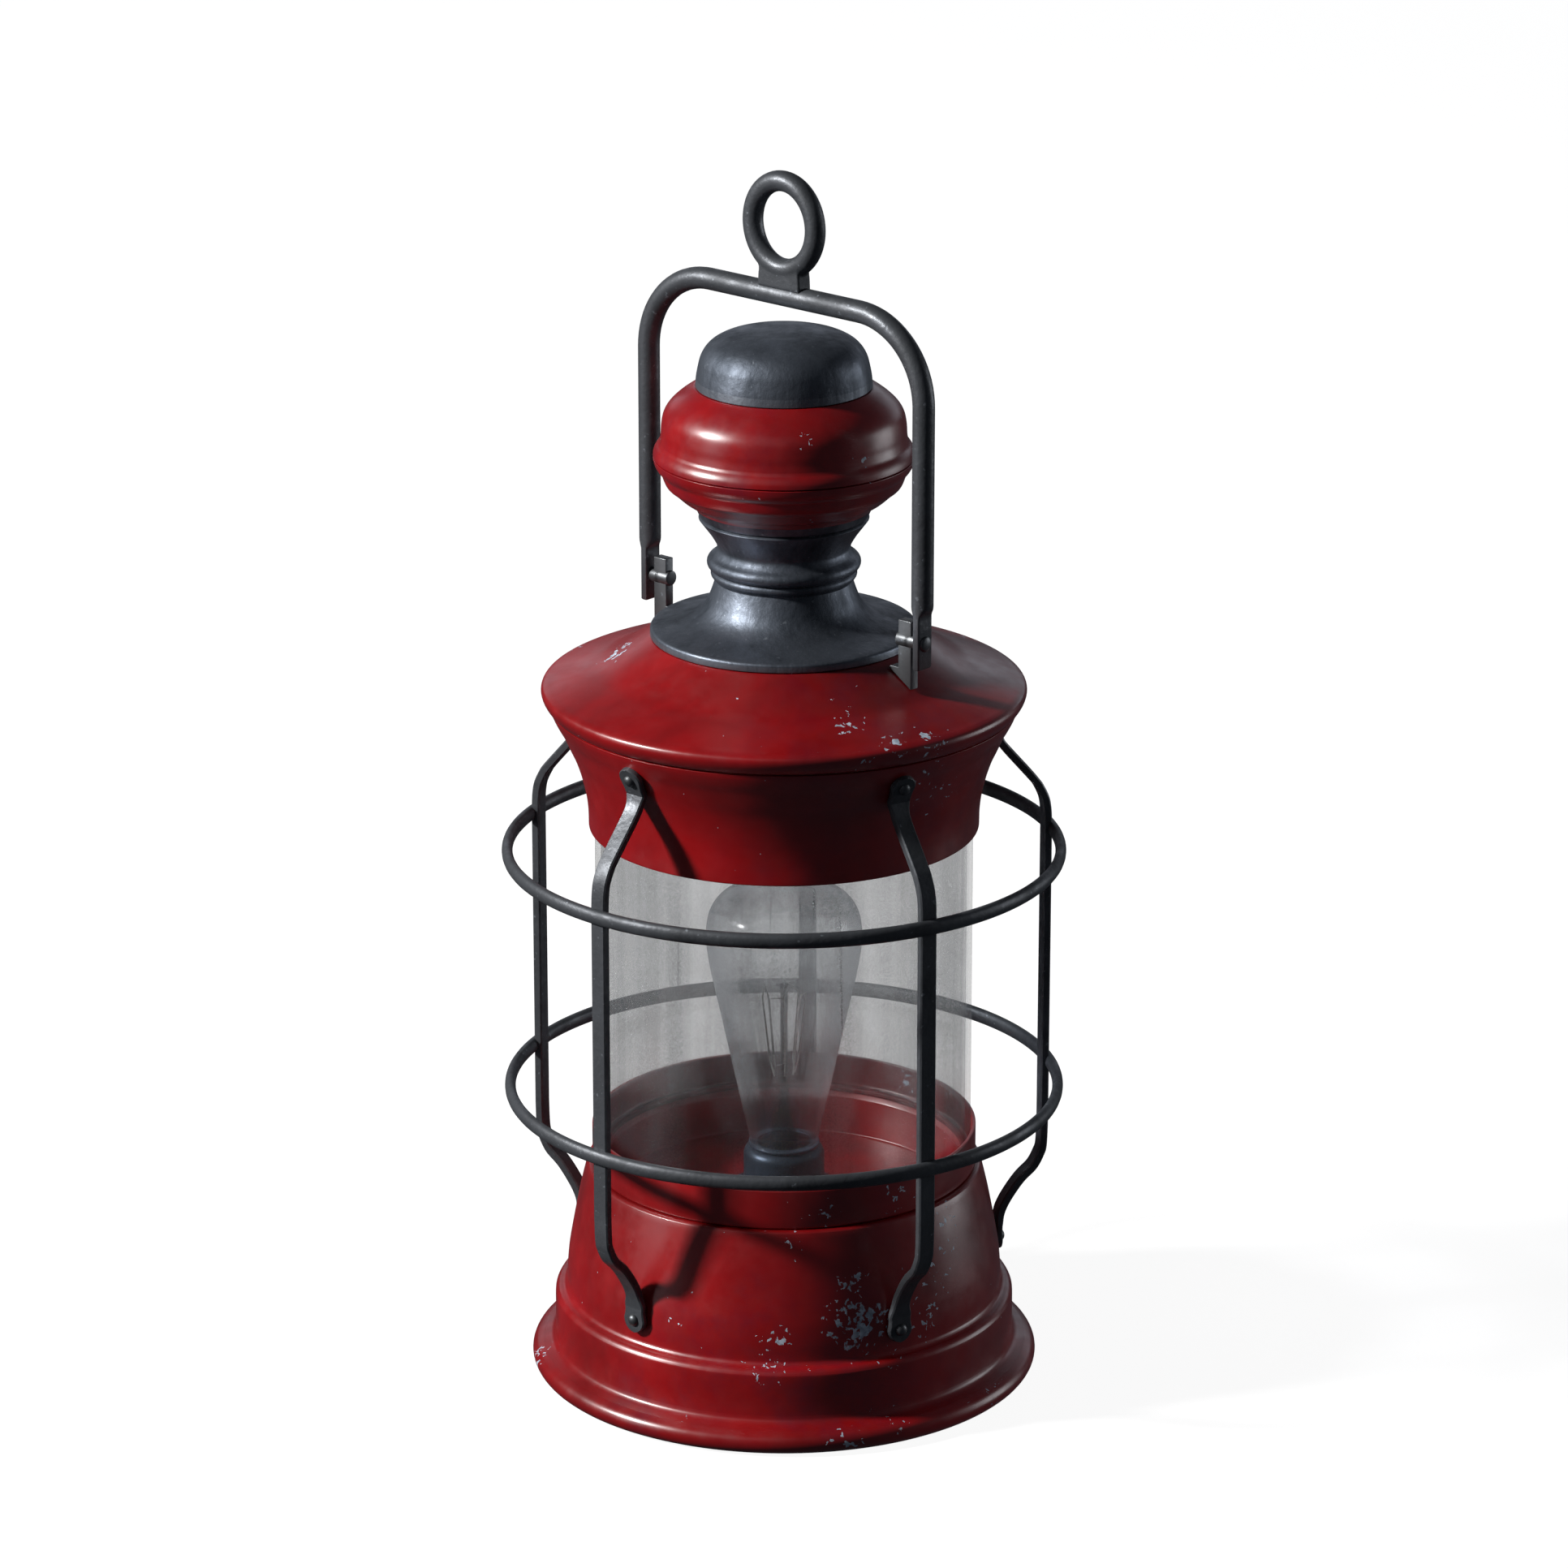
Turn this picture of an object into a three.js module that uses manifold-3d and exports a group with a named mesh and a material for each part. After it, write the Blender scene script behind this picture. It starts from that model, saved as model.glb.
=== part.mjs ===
// A railway-style lantern of spun sheet steel, fitted with an electric filament lamp.
// Millimetres, +Z up, origin at the centre of the foot pad's underside.
// X is the axis of the bail pins, and the first cage bar stands on -Y.
import * as THREE from "three";
import { mergeVertices } from "three/addons/utils/BufferGeometryUtils.js";
import Module from "manifold-3d";

// ---------------------------------------------------------------- driving dimensions
const GAP = 0.3; // clearance between pieces that touch
const SHEET = 1.5; // wall of every spun shell

const GLASS_R = 76; // outside of the glass cylinder
const GLASS_WALL = 2.4;
const GLASS_LENGTH = 148.5;
const GLASS_PLAY = 0.6; // glass to collar and to hood
const GASKET_T = 2;

const PAD_INSET = 31.4; // rubber foot pad, in from the rolled foot
const PAD_T = 2;
const PAD_PROUD = 0.5; // pad below the rolled foot
const PLATE_T = 1.2;
const FOOT_OVERHANG = 9.6; // rolled foot beyond the band
const FOOT_ROLL_R = 4.5;
const FOOT_HEIGHT = 11;
const BAND_STEP = 5.2; // band beyond the body
const BAND_TOP = 33.4;
const BODY_FLARE = 10.5; // body beyond the glass collar
const SHOULDER_Z = 52; // where the body turns from wall to cone
const BODY_TOP = 87.5;
const COLLAR_HEIGHT = 16.2;
const PAN_DEPTH = 18.3; // lamp pan below the glass seat
const PAN_INSET = 4.6; // pan wall inside the collar
const TAB_WIDTH = 14; // brackets that hold the base plate
const TAB_REACH = 15;
const TAB_HEIGHT = 18;
const TAB_COUNT = 3;
const SCREW_R = 1.9;
const SCREW_HEAD_R = 3.8;
const INLET_R = 5.7; // hole for the cable bush
const INLET_Z = 21;
const CABLE_R = 3.4;

const HOLDER_R = 16.5; // lampholder sleeve
const HOLDER_RISE = 24; // sleeve above the pan
const HOLDER_DROP = 16; // sleeve below the pan
const HOLDER_WALL = 1.2;
const HOLDER_FLANGE_R = 27;
const HOLDER_NUT_R = 22;
const CAP_THREAD_R = 13.05; // screw cap of the lamp
const CAP_LENGTH = 23;
const BULB_NECK_R = 14;
const BULB_R = 32;
const BULB_LENGTH = 116.2; // glass envelope alone
const BULB_WALL = 0.9;

const CAGE_COUNT = 5;
const CAGE_STANDOFF = 22.6; // ring centre beyond the body
const RING_DEPTH = 4.4; // ring section, radial
const RING_HEIGHT = 6.2; // ring section, vertical
const RING_NOTCH = 1.6; // ring let into the bars
const RING_ABOVE_COLLAR = 16.9;
const RING_BELOW_HOOD = 10.7;
const BAR_WIDTH = 7.2;
const BAR_T = 3.4;
const PADDLE_R = 5.4;
const PADDLE_T = 2.6;
const RIVET_R = 1.5;
const RIVET_HEAD_R = 2.5;
const LOW_RIVET_Z = 44.9;
const HIGH_RIVET_DROP = 10.6; // rivet below the top of the hood skirt

const SKIRT_PLAY = 0.8;
const SKIRT_LAP = 7.9; // skirt over the glass
const SKIRT_HEIGHT = 50.7;
const SKIRT_FLARE = 15.1;
const BRIM_OVERHANG = 3.6; // rolled brim beyond the skirt
const BRIM_HEIGHT = 8.6;
const ROOF_KNEE_IN = 29.3; // where the steep cone begins, in from the brim
const ROOF_KNEE_RISE = 10;
const ROOF_APRON_IN = 17; // middle of the shallow apron, in from the brim
const ROOF_APRON_RISE = 4.8;
const ROOF_PITCH = THREE.MathUtils.degToRad(33);
const CHIMNEY_R = 53.3; // flange of the chimney base
const CHIMNEY_RIM = 3.7;
const CHIMNEY_HOLE_R = 36;
const NECK_R = 27.2;
const NECK_RISE = 23.2; // flange to neck
const THROAT_RISE = 13.5; // neck to throat
const THROAT_R = 26.5;
const FUNNEL_RISE = 12.4; // throat to vent
const FUNNEL_R = 33.9;
const VENT_R = 51.7;
const VENT_LOW_HEIGHT = 24;
const VENT_HIGH_HEIGHT = 28;
const VENT_TOP_R = 35.4;
const CAP_R = 34.9;
const CAP_HEIGHT = 22.2;

const BRACKET_STANDOFF = 11.3; // middle of the bracket beyond the chimney flange
const BRACKET_WIDTH = 6.5;
const BRACKET_T = 4.4;
const PIVOT_RISE = 10.8; // pin above the roof's top
const BRACKET_ABOVE_PIN = 8.2;
const BRACKET_TOE = 7.6; // foot turned in towards the chimney
const PIN_R = 3.15;
const SPIGOT_R = 2;
const PIN_PROUD = 1.2;
const BAIL_GAP = 2.3; // bracket to bail end
const BAIL_END_T = 3.2;
const BAIL_END_WIDTH = 8.4;
const BAIL_END_BELOW = 10.4; // bail end below the pin
const BAIL_END_ABOVE = 12.5; // where the round wire begins
const BAIL_WIRE_R = 4.4;
const BAIL_OVER_CAP = 9.8;
const BAIL_CORNER_R = 33;
const EYE_HALF_WIDTH = 16.4;
const EYE_HALF_HEIGHT = 17.5;
const EYE_WIRE_R = 4.15;
const EYE_RISE = 28.1; // eye centre above the crossbar
const EYE_NECK_WIDTH = 21.6;
const EYE_NECK_T = 7.5;

// ---------------------------------------------------------------- sizes that follow
const collarR = GLASS_R + GLASS_PLAY + SHEET;
const bodyR = collarR + BODY_FLARE;
const bandR = bodyR + BAND_STEP;
const footR = bandR + FOOT_OVERHANG;
const padR = footR - PAD_INSET;
const lipR = footR - 1.7 * FOOT_ROLL_R; // inner edge of the rolled foot
const plateZ = PAD_T + GAP;
const seatZ = BODY_TOP + GAP; // underside of the glass seat
const panZ = seatZ - PAN_DEPTH;
const panR = collarR - PAN_INSET;
const floorZ = panZ + SHEET; // the pan's floor
const collarTop = seatZ + COLLAR_HEIGHT;
const glassBottom = seatZ + SHEET + GAP + GASKET_T + GAP;
const glassTop = glassBottom + GLASS_LENGTH;
const skirtZ = glassTop - SKIRT_LAP;
const skirtR = GLASS_R + SKIRT_PLAY + SHEET;
const skirtTopR = skirtR + SKIRT_FLARE;
const brimR = skirtTopR + BRIM_OVERHANG;
const roofZ = skirtZ + SKIRT_HEIGHT + GAP; // underside of the roof
const kneeR = brimR - ROOF_KNEE_IN;
const kneeZ = roofZ + BRIM_HEIGHT + ROOF_KNEE_RISE;
const coneSlope = Math.tan(ROOF_PITCH);
const apronSlope = (ROOF_KNEE_RISE - ROOF_APRON_RISE) / (ROOF_KNEE_IN - ROOF_APRON_IN);
const roofAt = (r) => kneeZ + (kneeR - r) * (r < kneeR ? coneSlope : apronSlope); // height of the roof
const roofTop = roofAt(CHIMNEY_R);
const chimneyZ = roofTop + GAP;
const chimneyHeight = NECK_RISE + THROAT_RISE + FUNNEL_RISE;
const ventZ = chimneyZ + chimneyHeight + GAP;
const ventHighZ = ventZ + VENT_LOW_HEIGHT + GAP;
const capZ = ventHighZ + VENT_HIGH_HEIGHT + GAP;
const capTop = capZ + CAP_HEIGHT;
const cageR = bodyR + CAGE_STANDOFF;
const barR = cageR - RING_DEPTH / 2 + RING_NOTCH; // outer face of the upright bars
const lowRingZ = collarTop + RING_ABOVE_COLLAR;
const highRingZ = skirtZ - RING_BELOW_HOOD;
const highRivetZ = skirtZ + SKIRT_HEIGHT - HIGH_RIVET_DROP;
const pivotZ = roofTop + PIVOT_RISE;
const bracketX = CHIMNEY_R + BRACKET_STANDOFF;
const bracketOut = bracketX + BRACKET_WIDTH / 2;
const bailEndX = bracketOut + BAIL_GAP + BAIL_END_T / 2;
const crossbarZ = capTop + BAIL_OVER_CAP + BAIL_WIRE_R;

const SHELL_SIDES = 30; // a multiple of the cage bars, so each bar meets a corner
const STACK_SIDES = 24;
const RING_SIDES = 40;
const SMALL_SIDES = 16;
const TINY_SIDES = 8;
const facetDrop = Math.tan(Math.PI / SHELL_SIDES); // how a facet falls away from its corner

// ---------------------------------------------------------------- finishes
const RED_ENAMEL = { color: 0x7d0a0e, roughness: 0.35, metalness: 0.15 };
const DARK_STEEL = { color: 0x2a3036, roughness: 0.42, metalness: 0.75 };
const FORGED_STEEL = { color: 0x24282c, roughness: 0.5, metalness: 0.7 };
const ZINC = { color: 0x9a9c9a, roughness: 0.45, metalness: 0.8 };
const BRASS = { color: 0xb08d4a, roughness: 0.35, metalness: 0.9 };
const CLEAR_GLASS = { color: 0xc9d2d4, roughness: 0.1, metalness: 0, transparent: true, opacity: 0.35 };
const RUBBER = { color: 0x1b1b1b, roughness: 0.85, metalness: 0 };
const CERAMIC = { color: 0xe6e0d2, roughness: 0.4, metalness: 0 };
const TUNGSTEN = { color: 0x55504a, roughness: 0.5, metalness: 0.8 };

// ---------------------------------------------------------------- outlines
const point = (r, z) => new THREE.Vector2(r, z);
const points = (pairs) => pairs.map(([r, z]) => point(r, z));

// An arc about (r, z), its angles in degrees from the outward direction.
function arc(r, z, radius, from, to, steps) {
  return Array.from({ length: steps + 1 }, (_, i) => {
    const angle = THREE.MathUtils.degToRad(from + ((to - from) * i) / steps);
    return point(r + radius * Math.cos(angle), z + radius * Math.sin(angle));
  });
}

const smooth = (pairs, steps) => new THREE.SplineCurve(points(pairs)).getPoints(steps);

// The other face of a sheet that lies to the left of an outline.
function offset(outline, thickness) {
  return outline.map((here, i) => {
    const before = outline[Math.max(i - 1, 0)];
    const after = outline[Math.min(i + 1, outline.length - 1)];
    const into = here.clone().sub(before);
    const away = after.clone().sub(here);
    if (i === 0) into.copy(away);
    if (i === outline.length - 1) away.copy(into);
    const normal = point(-into.y, into.x).normalize().add(point(-away.y, away.x).normalize());
    const stretch = Math.max(normal.lengthSq() / 2, 0.6);
    return here.clone().addScaledVector(normal, thickness / stretch);
  });
}

const sheet = (outline, thickness = SHEET) => [...outline, ...offset(outline, thickness).reverse()];

// A solid of revolution about Z from a closed outline of (radius, height).
function lathe(outline, sides) {
  const loop = THREE.ShapeUtils.area(outline) > 0 ? [...outline] : [...outline].reverse();
  loop.push(loop[0].clone());
  return new THREE.LatheGeometry(loop, sides).rotateX(Math.PI / 2);
}

const ring = (inner, outer, bottom, top, sides) =>
  lathe(points([[inner, bottom], [outer, bottom], [outer, top], [inner, top]]), sides);

// A round bar from z = bottom to z = top.
const rod = (r, bottom, top, sides) =>
  new THREE.CylinderGeometry(r, r, top - bottom, sides)
    .rotateX(Math.PI / 2)
    .translate(0, 0, (top + bottom) / 2);

const plate = (shape, depth, curveSegments = 6) =>
  new THREE.ExtrudeGeometry(shape, { depth, bevelEnabled: false, curveSegments });

function discShape(r, x = 0, y = 0) {
  return new THREE.Path().absarc(x, y, r, 0, 2 * Math.PI);
}

// A round wire along a curve.
function wire(curve, r, sides, steps) {
  const section = new THREE.Shape(
    Array.from({ length: sides }, (_, i) => {
      const angle = (2 * Math.PI * (i + 0.5)) / sides;
      return point(r * Math.cos(angle), r * Math.sin(angle));
    }),
  );
  return new THREE.ExtrudeGeometry(section, { steps, extrudePath: curve, bevelEnabled: false });
}

// ---------------------------------------------------------------- joining and cutting
const wasm = await Module();
wasm.setup();

function solid(geometry) {
  const bare = geometry.index ? geometry.toNonIndexed() : geometry.clone();
  bare.deleteAttribute("normal");
  bare.deleteAttribute("uv");
  const merged = mergeVertices(bare, 1e-3);
  const vertProperties = merged.attributes.position.array;
  const triVerts = new Uint32Array(merged.index.array);
  return new wasm.Manifold(new wasm.Mesh({ numProp: 3, vertProperties, triVerts }));
}

function geometryOf(body) {
  const mesh = body.getMesh();
  const geometry = new THREE.BufferGeometry();
  geometry.setAttribute("position", new THREE.BufferAttribute(mesh.vertProperties, 3));
  geometry.setIndex(new THREE.BufferAttribute(mesh.triVerts, 1));
  geometry.computeVertexNormals();
  return geometry;
}

const join = (first, ...rest) =>
  geometryOf(rest.reduce((body, other) => body.add(solid(other)), solid(first)));
const cut = (first, ...tools) =>
  geometryOf(tools.reduce((body, tool) => body.subtract(solid(tool)), solid(first)));

// ---------------------------------------------------------------- placing
function piece(name, geometry, finish) {
  const mesh = new THREE.Mesh(geometry, new THREE.MeshStandardMaterial(finish));
  mesh.name = name;
  return mesh;
}

function group(...members) {
  const made = new THREE.Group();
  made.add(...members);
  return made;
}

const barAngle = (i) => -Math.PI / 2 + (2 * Math.PI * i) / CAGE_COUNT;

// Turns a geometry made along +Z so that it points outwards, tilted down by an angle.
const outward = (geometry, r, z, tilt = 0) =>
  geometry.rotateY(Math.PI / 2 + tilt).translate(r, 0, z);

// ---------------------------------------------------------------- hood skirt outline
const skirtAt = (z) => skirtR + SKIRT_FLARE * ((z - skirtZ) / SKIRT_HEIGHT) ** 1.8;
const skirtTilt = Math.atan(1.8 * (SKIRT_FLARE / SKIRT_HEIGHT)
  * ((highRivetZ - skirtZ) / SKIRT_HEIGHT) ** 0.8);
const hoodFace = skirtAt(highRivetZ) + (GAP + PADDLE_T) / Math.cos(skirtTilt); // of the paddles

// ---------------------------------------------------------------- base
function rivetHoles(r, z, tilt) {
  return Array.from({ length: CAGE_COUNT }, (_, i) =>
    outward(rod(RIVET_R + GAP, -10, 4, TINY_SIDES), r, z, tilt).rotateZ(barAngle(i)));
}

function baseShell() {
  const coneTopR = collarR + GAP + SHEET;
  const rollZ = PAD_PROUD + FOOT_ROLL_R;
  const outline = [
    point(lipR, PAD_PROUD),
    ...arc(footR - FOOT_ROLL_R, rollZ, FOOT_ROLL_R, -90, 72, 4),
    point(bandR + 2.6, FOOT_HEIGHT),
    point(bandR, FOOT_HEIGHT + 2.4),
    ...arc(bandR - 2.6, BAND_TOP - 2.6, 2.6, 0, 80, 2),
    point(bodyR + 0.3, BAND_TOP + 1.2),
    point(bodyR - 0.6, SHOULDER_Z),
    point(coneTopR, BODY_TOP - 1),
    point(coneTopR - 0.8, BODY_TOP),
    point(panR + GAP, BODY_TOP),
  ];
  const inlet = rod(INLET_R, -8, 8, SMALL_SIDES).rotateX(Math.PI / 2).translate(0, bandR, INLET_Z);
  return cut(lathe(sheet(outline), SHELL_SIDES), inlet, ...rivetHoles(bodyR, LOW_RIVET_Z, 0));
}

const tabFace = bandR - SHEET - (TAB_WIDTH / 2) * facetDrop - GAP;
const screwAt = tabFace - TAB_REACH / 2;
const tabAngle = (i) => Math.PI / 6 + (2 * Math.PI * i) / TAB_COUNT;
const tabZ = plateZ + PLATE_T + GAP;

function basePlate() {
  const shape = new THREE.Shape().absarc(0, 0, lipR - GAP, 0, 2 * Math.PI);
  for (let i = 0; i < TAB_COUNT; i++) {
    const angle = tabAngle(i);
    shape.holes.push(discShape(SCREW_R + GAP, screwAt * Math.cos(angle), screwAt * Math.sin(angle)));
  }
  return plate(shape, PLATE_T, SHELL_SIDES / 2).translate(0, 0, plateZ);
}

// An angle bracket inside the band, with a hole that the screw bites into.
function baseTab() {
  const side = new THREE.Shape(points([
    [tabFace, tabZ], [tabFace, tabZ + TAB_HEIGHT], [tabFace - SHEET, tabZ + TAB_HEIGHT],
    [tabFace - SHEET, tabZ + SHEET], [tabFace - TAB_REACH, tabZ + SHEET],
    [tabFace - TAB_REACH, tabZ],
  ]));
  const angle = plate(side, TAB_WIDTH).rotateX(Math.PI / 2).translate(0, TAB_WIDTH / 2, 0);
  return cut(angle, rod(SCREW_R + GAP, tabZ - 1, tabZ + 4, TINY_SIDES).translate(screwAt, 0, 0));
}

function baseScrew() {
  const headTop = plateZ - GAP;
  const outline = points([
    [0, PAD_PROUD], [SCREW_HEAD_R - 1, PAD_PROUD], [SCREW_HEAD_R, PAD_PROUD + 0.7],
    [SCREW_HEAD_R, headTop], [SCREW_R, headTop], [SCREW_R, tabZ + 4], [0, tabZ + 4.8],
  ]);
  return lathe(outline, TINY_SIDES);
}

// A rubber bush with a groove that grips the edge of the inlet hole.
function inletBush() {
  const outside = bandR + GAP;
  const inside = bandR - SHEET - (INLET_R + 2) * facetDrop - GAP;
  const outline = points([
    [CABLE_R, outside + 1.8], [INLET_R + 1, outside + 1.8], [INLET_R + 2, outside + 0.8],
    [INLET_R + 2, outside], [INLET_R - GAP, outside], [INLET_R - GAP, inside],
    [INLET_R + 2, inside], [INLET_R + 1.4, inside - 1.8], [CABLE_R, inside - 1.8],
  ]);
  return lathe(outline, SMALL_SIDES).rotateX(-Math.PI / 2).translate(0, 0, INLET_Z);
}

// ---------------------------------------------------------------- lamp pan and glass
function lampPan() {
  const outline = [
    point(HOLDER_R + GAP, panZ),
    point(panR - 2, panZ),
    point(panR, panZ + 2),
    point(panR, seatZ),
    point(collarR, seatZ),
    point(collarR, collarTop),
  ];
  return lathe(sheet(outline), SHELL_SIDES);
}

const gasketIn = GLASS_R - GLASS_WALL - 1;
const gasketOut = GLASS_R + GLASS_PLAY - GAP;

function gasket(bottom) {
  return ring(gasketIn, gasketOut, bottom, bottom + GASKET_T, SHELL_SIDES);
}

// A pressed ring inside the hood that the top of the glass bears on.
function glassStop() {
  const bottom = glassTop + GAP + GASKET_T + GAP;
  const outer = skirtR - SHEET - GAP;
  const outline = points([[gasketIn - 3, bottom], [outer, bottom], [outer, bottom + 6]]);
  return lathe(sheet(outline), SHELL_SIDES);
}

// ---------------------------------------------------------------- lampholder and lamp
const holderBottom = floorZ - HOLDER_DROP;
const holderTop = floorZ + HOLDER_RISE;
const insulatorTop = holderBottom + 7;
const contactTop = insulatorTop + GAP + 1.4;
const capBottom = contactTop + GAP + 2.6; // lower edge of the screw cap's brass
const bulbZ = capBottom + CAP_LENGTH + GAP;

function holderSleeve() {
  const outline = [
    point(HOLDER_R, holderBottom),
    ...arc(HOLDER_R - 2.4, holderTop - 2.4, 2.4, 0, 60, 3),
    point(BULB_NECK_R + 0.5, holderTop),
  ];
  return lathe(sheet(outline, HOLDER_WALL), SMALL_SIDES);
}

function holderFlange() {
  const inner = HOLDER_R + GAP;
  const bottom = floorZ + GAP;
  return lathe(points([
    [inner, bottom], [HOLDER_FLANGE_R, bottom], [HOLDER_FLANGE_R - 1, bottom + 1.4],
    [inner + 2, bottom + 2], [inner, bottom + 3],
  ]), SMALL_SIDES);
}

// The brass shell is shown plain, as wide as the crests of its thread.
function threadShell() {
  const inner = CAP_THREAD_R + GAP;
  return ring(inner, inner + 0.7, insulatorTop + GAP, bulbZ - 2, SMALL_SIDES);
}

function holderContact() {
  const bottom = insulatorTop + GAP;
  return lathe(points([[0, bottom], [4.5, bottom], [3, contactTop], [0, contactTop]]), TINY_SIDES);
}

const leadX = 8; // the leads enter either side of the middle
function holderInsulator() {
  const block = rod(HOLDER_R - HOLDER_WALL - GAP, holderBottom, insulatorTop, SMALL_SIDES);
  const hole = (x) => rod(1.8, holderBottom - 1, insulatorTop + 1, TINY_SIDES).translate(x, 0, 0);
  return cut(block, hole(-leadX), hole(leadX));
}

function screwCap() {
  const outline = points([
    [CAP_THREAD_R - 4, capBottom], [CAP_THREAD_R, capBottom + 3],
    [CAP_THREAD_R, capBottom + CAP_LENGTH],
  ]);
  return lathe(sheet(outline, 0.7), SMALL_SIDES);
}

function capInsulator() {
  const top = capBottom - GAP;
  return lathe(points([[0, contactTop + 1.6], [4.4, contactTop + 1.6], [8, top], [0, top]]), TINY_SIDES);
}

function capContact() {
  const bottom = contactTop + GAP;
  return lathe(points([[0, bottom], [3, bottom], [3.6, bottom + 1], [0, bottom + 1]]), TINY_SIDES);
}

function bulbGlass() {
  const flare = BULB_R - BULB_NECK_R;
  const shape = [
    [0, 0.055], [0.31, 0.27], [0.61, 0.485], [0.87, 0.665], [0.995, 0.8],
  ].map(([across, along]) => [BULB_NECK_R + flare * across, bulbZ + BULB_LENGTH * along]);
  const crown = [[0.94, 0.895], [0.74, 0.96], [0.42, 0.992], [0.02, 1]]
    .map(([across, along]) => [BULB_R * across, bulbZ + BULB_LENGTH * along]);
  const outline = [point(BULB_NECK_R, bulbZ), ...smooth([...shape, ...crown], 9)];
  return lathe(sheet(outline, BULB_WALL), SMALL_SIDES);
}

// The glass foot inside the neck, with the rod that carries the filament.
function bulbStem() {
  const bottom = bulbZ + 0.2;
  const wide = BULB_NECK_R - BULB_WALL - GAP;
  return lathe(points([
    [0, bottom], [wide, bottom], [wide, bottom + 1.2], [4, bottom + 12], [1.6, bottom + 30],
    [1.6, bottom + BULB_LENGTH * 0.62], [0, bottom + BULB_LENGTH * 0.63],
  ]), TINY_SIDES);
}

// The filament runs up and down between two crowns of hooks round the rod.
function filament() {
  const legs = 8;
  const low = bulbZ + BULB_LENGTH * 0.3;
  const high = bulbZ + BULB_LENGTH * 0.6;
  const corners = [];
  for (let i = 0; i < legs; i++) {
    const angle = (2 * Math.PI * i) / legs;
    const ends = i % 2 ? [high, low] : [low, high];
    for (const z of ends) {
      const r = z === low ? 5 : 9;
      corners.push(new THREE.Vector3(r * Math.cos(angle), r * Math.sin(angle), z));
    }
  }
  return wire(new THREE.CatmullRomCurve3(corners, false, "catmullrom", 0.1), 0.4, 3, 45);
}

// ---------------------------------------------------------------- wiring in the base
const BLOCK = { width: 24, depth: 12, height: 11, y: 52 };
const blockZ = plateZ + PLATE_T + GAP;

function terminalBlock() {
  const side = new THREE.Shape(points([
    [0, 0], [BLOCK.depth, 0], [BLOCK.depth, BLOCK.height - 3], [BLOCK.depth - 3, BLOCK.height],
    [3, BLOCK.height], [0, BLOCK.height - 3],
  ]));
  return plate(side, BLOCK.width).rotateX(Math.PI / 2).rotateZ(Math.PI / 2)
    .translate(-BLOCK.width / 2, BLOCK.y, blockZ);
}

function lead(x) {
  const start = blockZ + 4;
  const curve = new THREE.CatmullRomCurve3([
    new THREE.Vector3(x, BLOCK.y - GAP, start),
    new THREE.Vector3(x, BLOCK.y - 12, start + 1),
    new THREE.Vector3(x, 14, start + 10),
    new THREE.Vector3(x, 1, holderBottom - 16),
    new THREE.Vector3(x, 0, holderBottom - 6),
    new THREE.Vector3(x, 0, insulatorTop - 1),
  ]);
  return wire(curve, 1.2, 6, 16);
}

// ---------------------------------------------------------------- cage
function cageRing(z, margin = 0) {
  const sides = 6;
  const section = Array.from({ length: sides }, (_, i) => {
    const angle = (2 * Math.PI * i) / sides;
    return point(
      cageR + (RING_DEPTH / 2 + margin) * Math.cos(angle),
      z + (RING_HEIGHT / 2 + margin) * Math.sin(angle) / Math.sin(Math.PI / 3),
    );
  });
  return lathe(section, RING_SIDES);
}

// A flat bar bent in at both ends, on +X. Its ends are flattened into round paddles,
// the lower one against the body and the upper one against the flare of the hood.
function cageBar() {
  const footFace = bodyR + GAP + PADDLE_T;
  const shortOfEdge = 0.55 * PADDLE_R; // the strip stops inside the round of the paddle
  const upPaddle = (d) => [
    hoodFace + d * Math.sin(skirtTilt), highRivetZ + d * Math.cos(skirtTilt),
  ];
  const [heelR, heelZ] = upPaddle(-PADDLE_R - 2.4);
  const outer = [
    point(footFace, LOW_RIVET_Z - shortOfEdge),
    ...smooth([
      [footFace, SHOULDER_Z - 1], [footFace + 4, SHOULDER_Z + 9.5],
      [barR - 4.6, seatZ - 13.6], [barR - 0.4, seatZ - 3.5], [barR, seatZ + 8],
    ], 7),
    ...smooth([
      [barR, skirtZ - 8], [barR - 1, skirtZ + 2], [barR - 6.2, skirtZ + 12.4],
      [heelR + 4.6, heelZ - 7.4], [heelR + 0.2, heelZ],
    ], 7),
    point(...upPaddle(-PADDLE_R)),
    point(...upPaddle(shortOfEdge)),
  ];
  const thin = offset(outer, PADDLE_T);
  const thick = offset(outer, BAR_T);
  const isPaddle = (z) => z < SHOULDER_Z || z > heelZ - 1;
  const inner = outer.map((p, i) => (isPaddle(p.y) ? thin[i] : thick[i]));
  const strip = plate(new THREE.Shape([...outer, ...inner.reverse()]), BAR_WIDTH)
    .rotateX(Math.PI / 2).translate(0, BAR_WIDTH / 2, 0);
  const lowEye = outward(rod(PADDLE_R, -PADDLE_T, 0, SMALL_SIDES), footFace, LOW_RIVET_Z);
  const highEye = outward(rod(PADDLE_R, -PADDLE_T, 0, SMALL_SIDES), hoodFace, highRivetZ, skirtTilt);
  const hole = () => rod(RIVET_R + GAP, -6, 6, TINY_SIDES);
  return cut(
    join(strip, lowEye, highEye),
    outward(hole(), footFace, LOW_RIVET_Z),
    outward(hole(), hoodFace, highRivetZ, skirtTilt),
    cageRing(lowRingZ, GAP),
    cageRing(highRingZ, GAP),
  );
}

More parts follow.
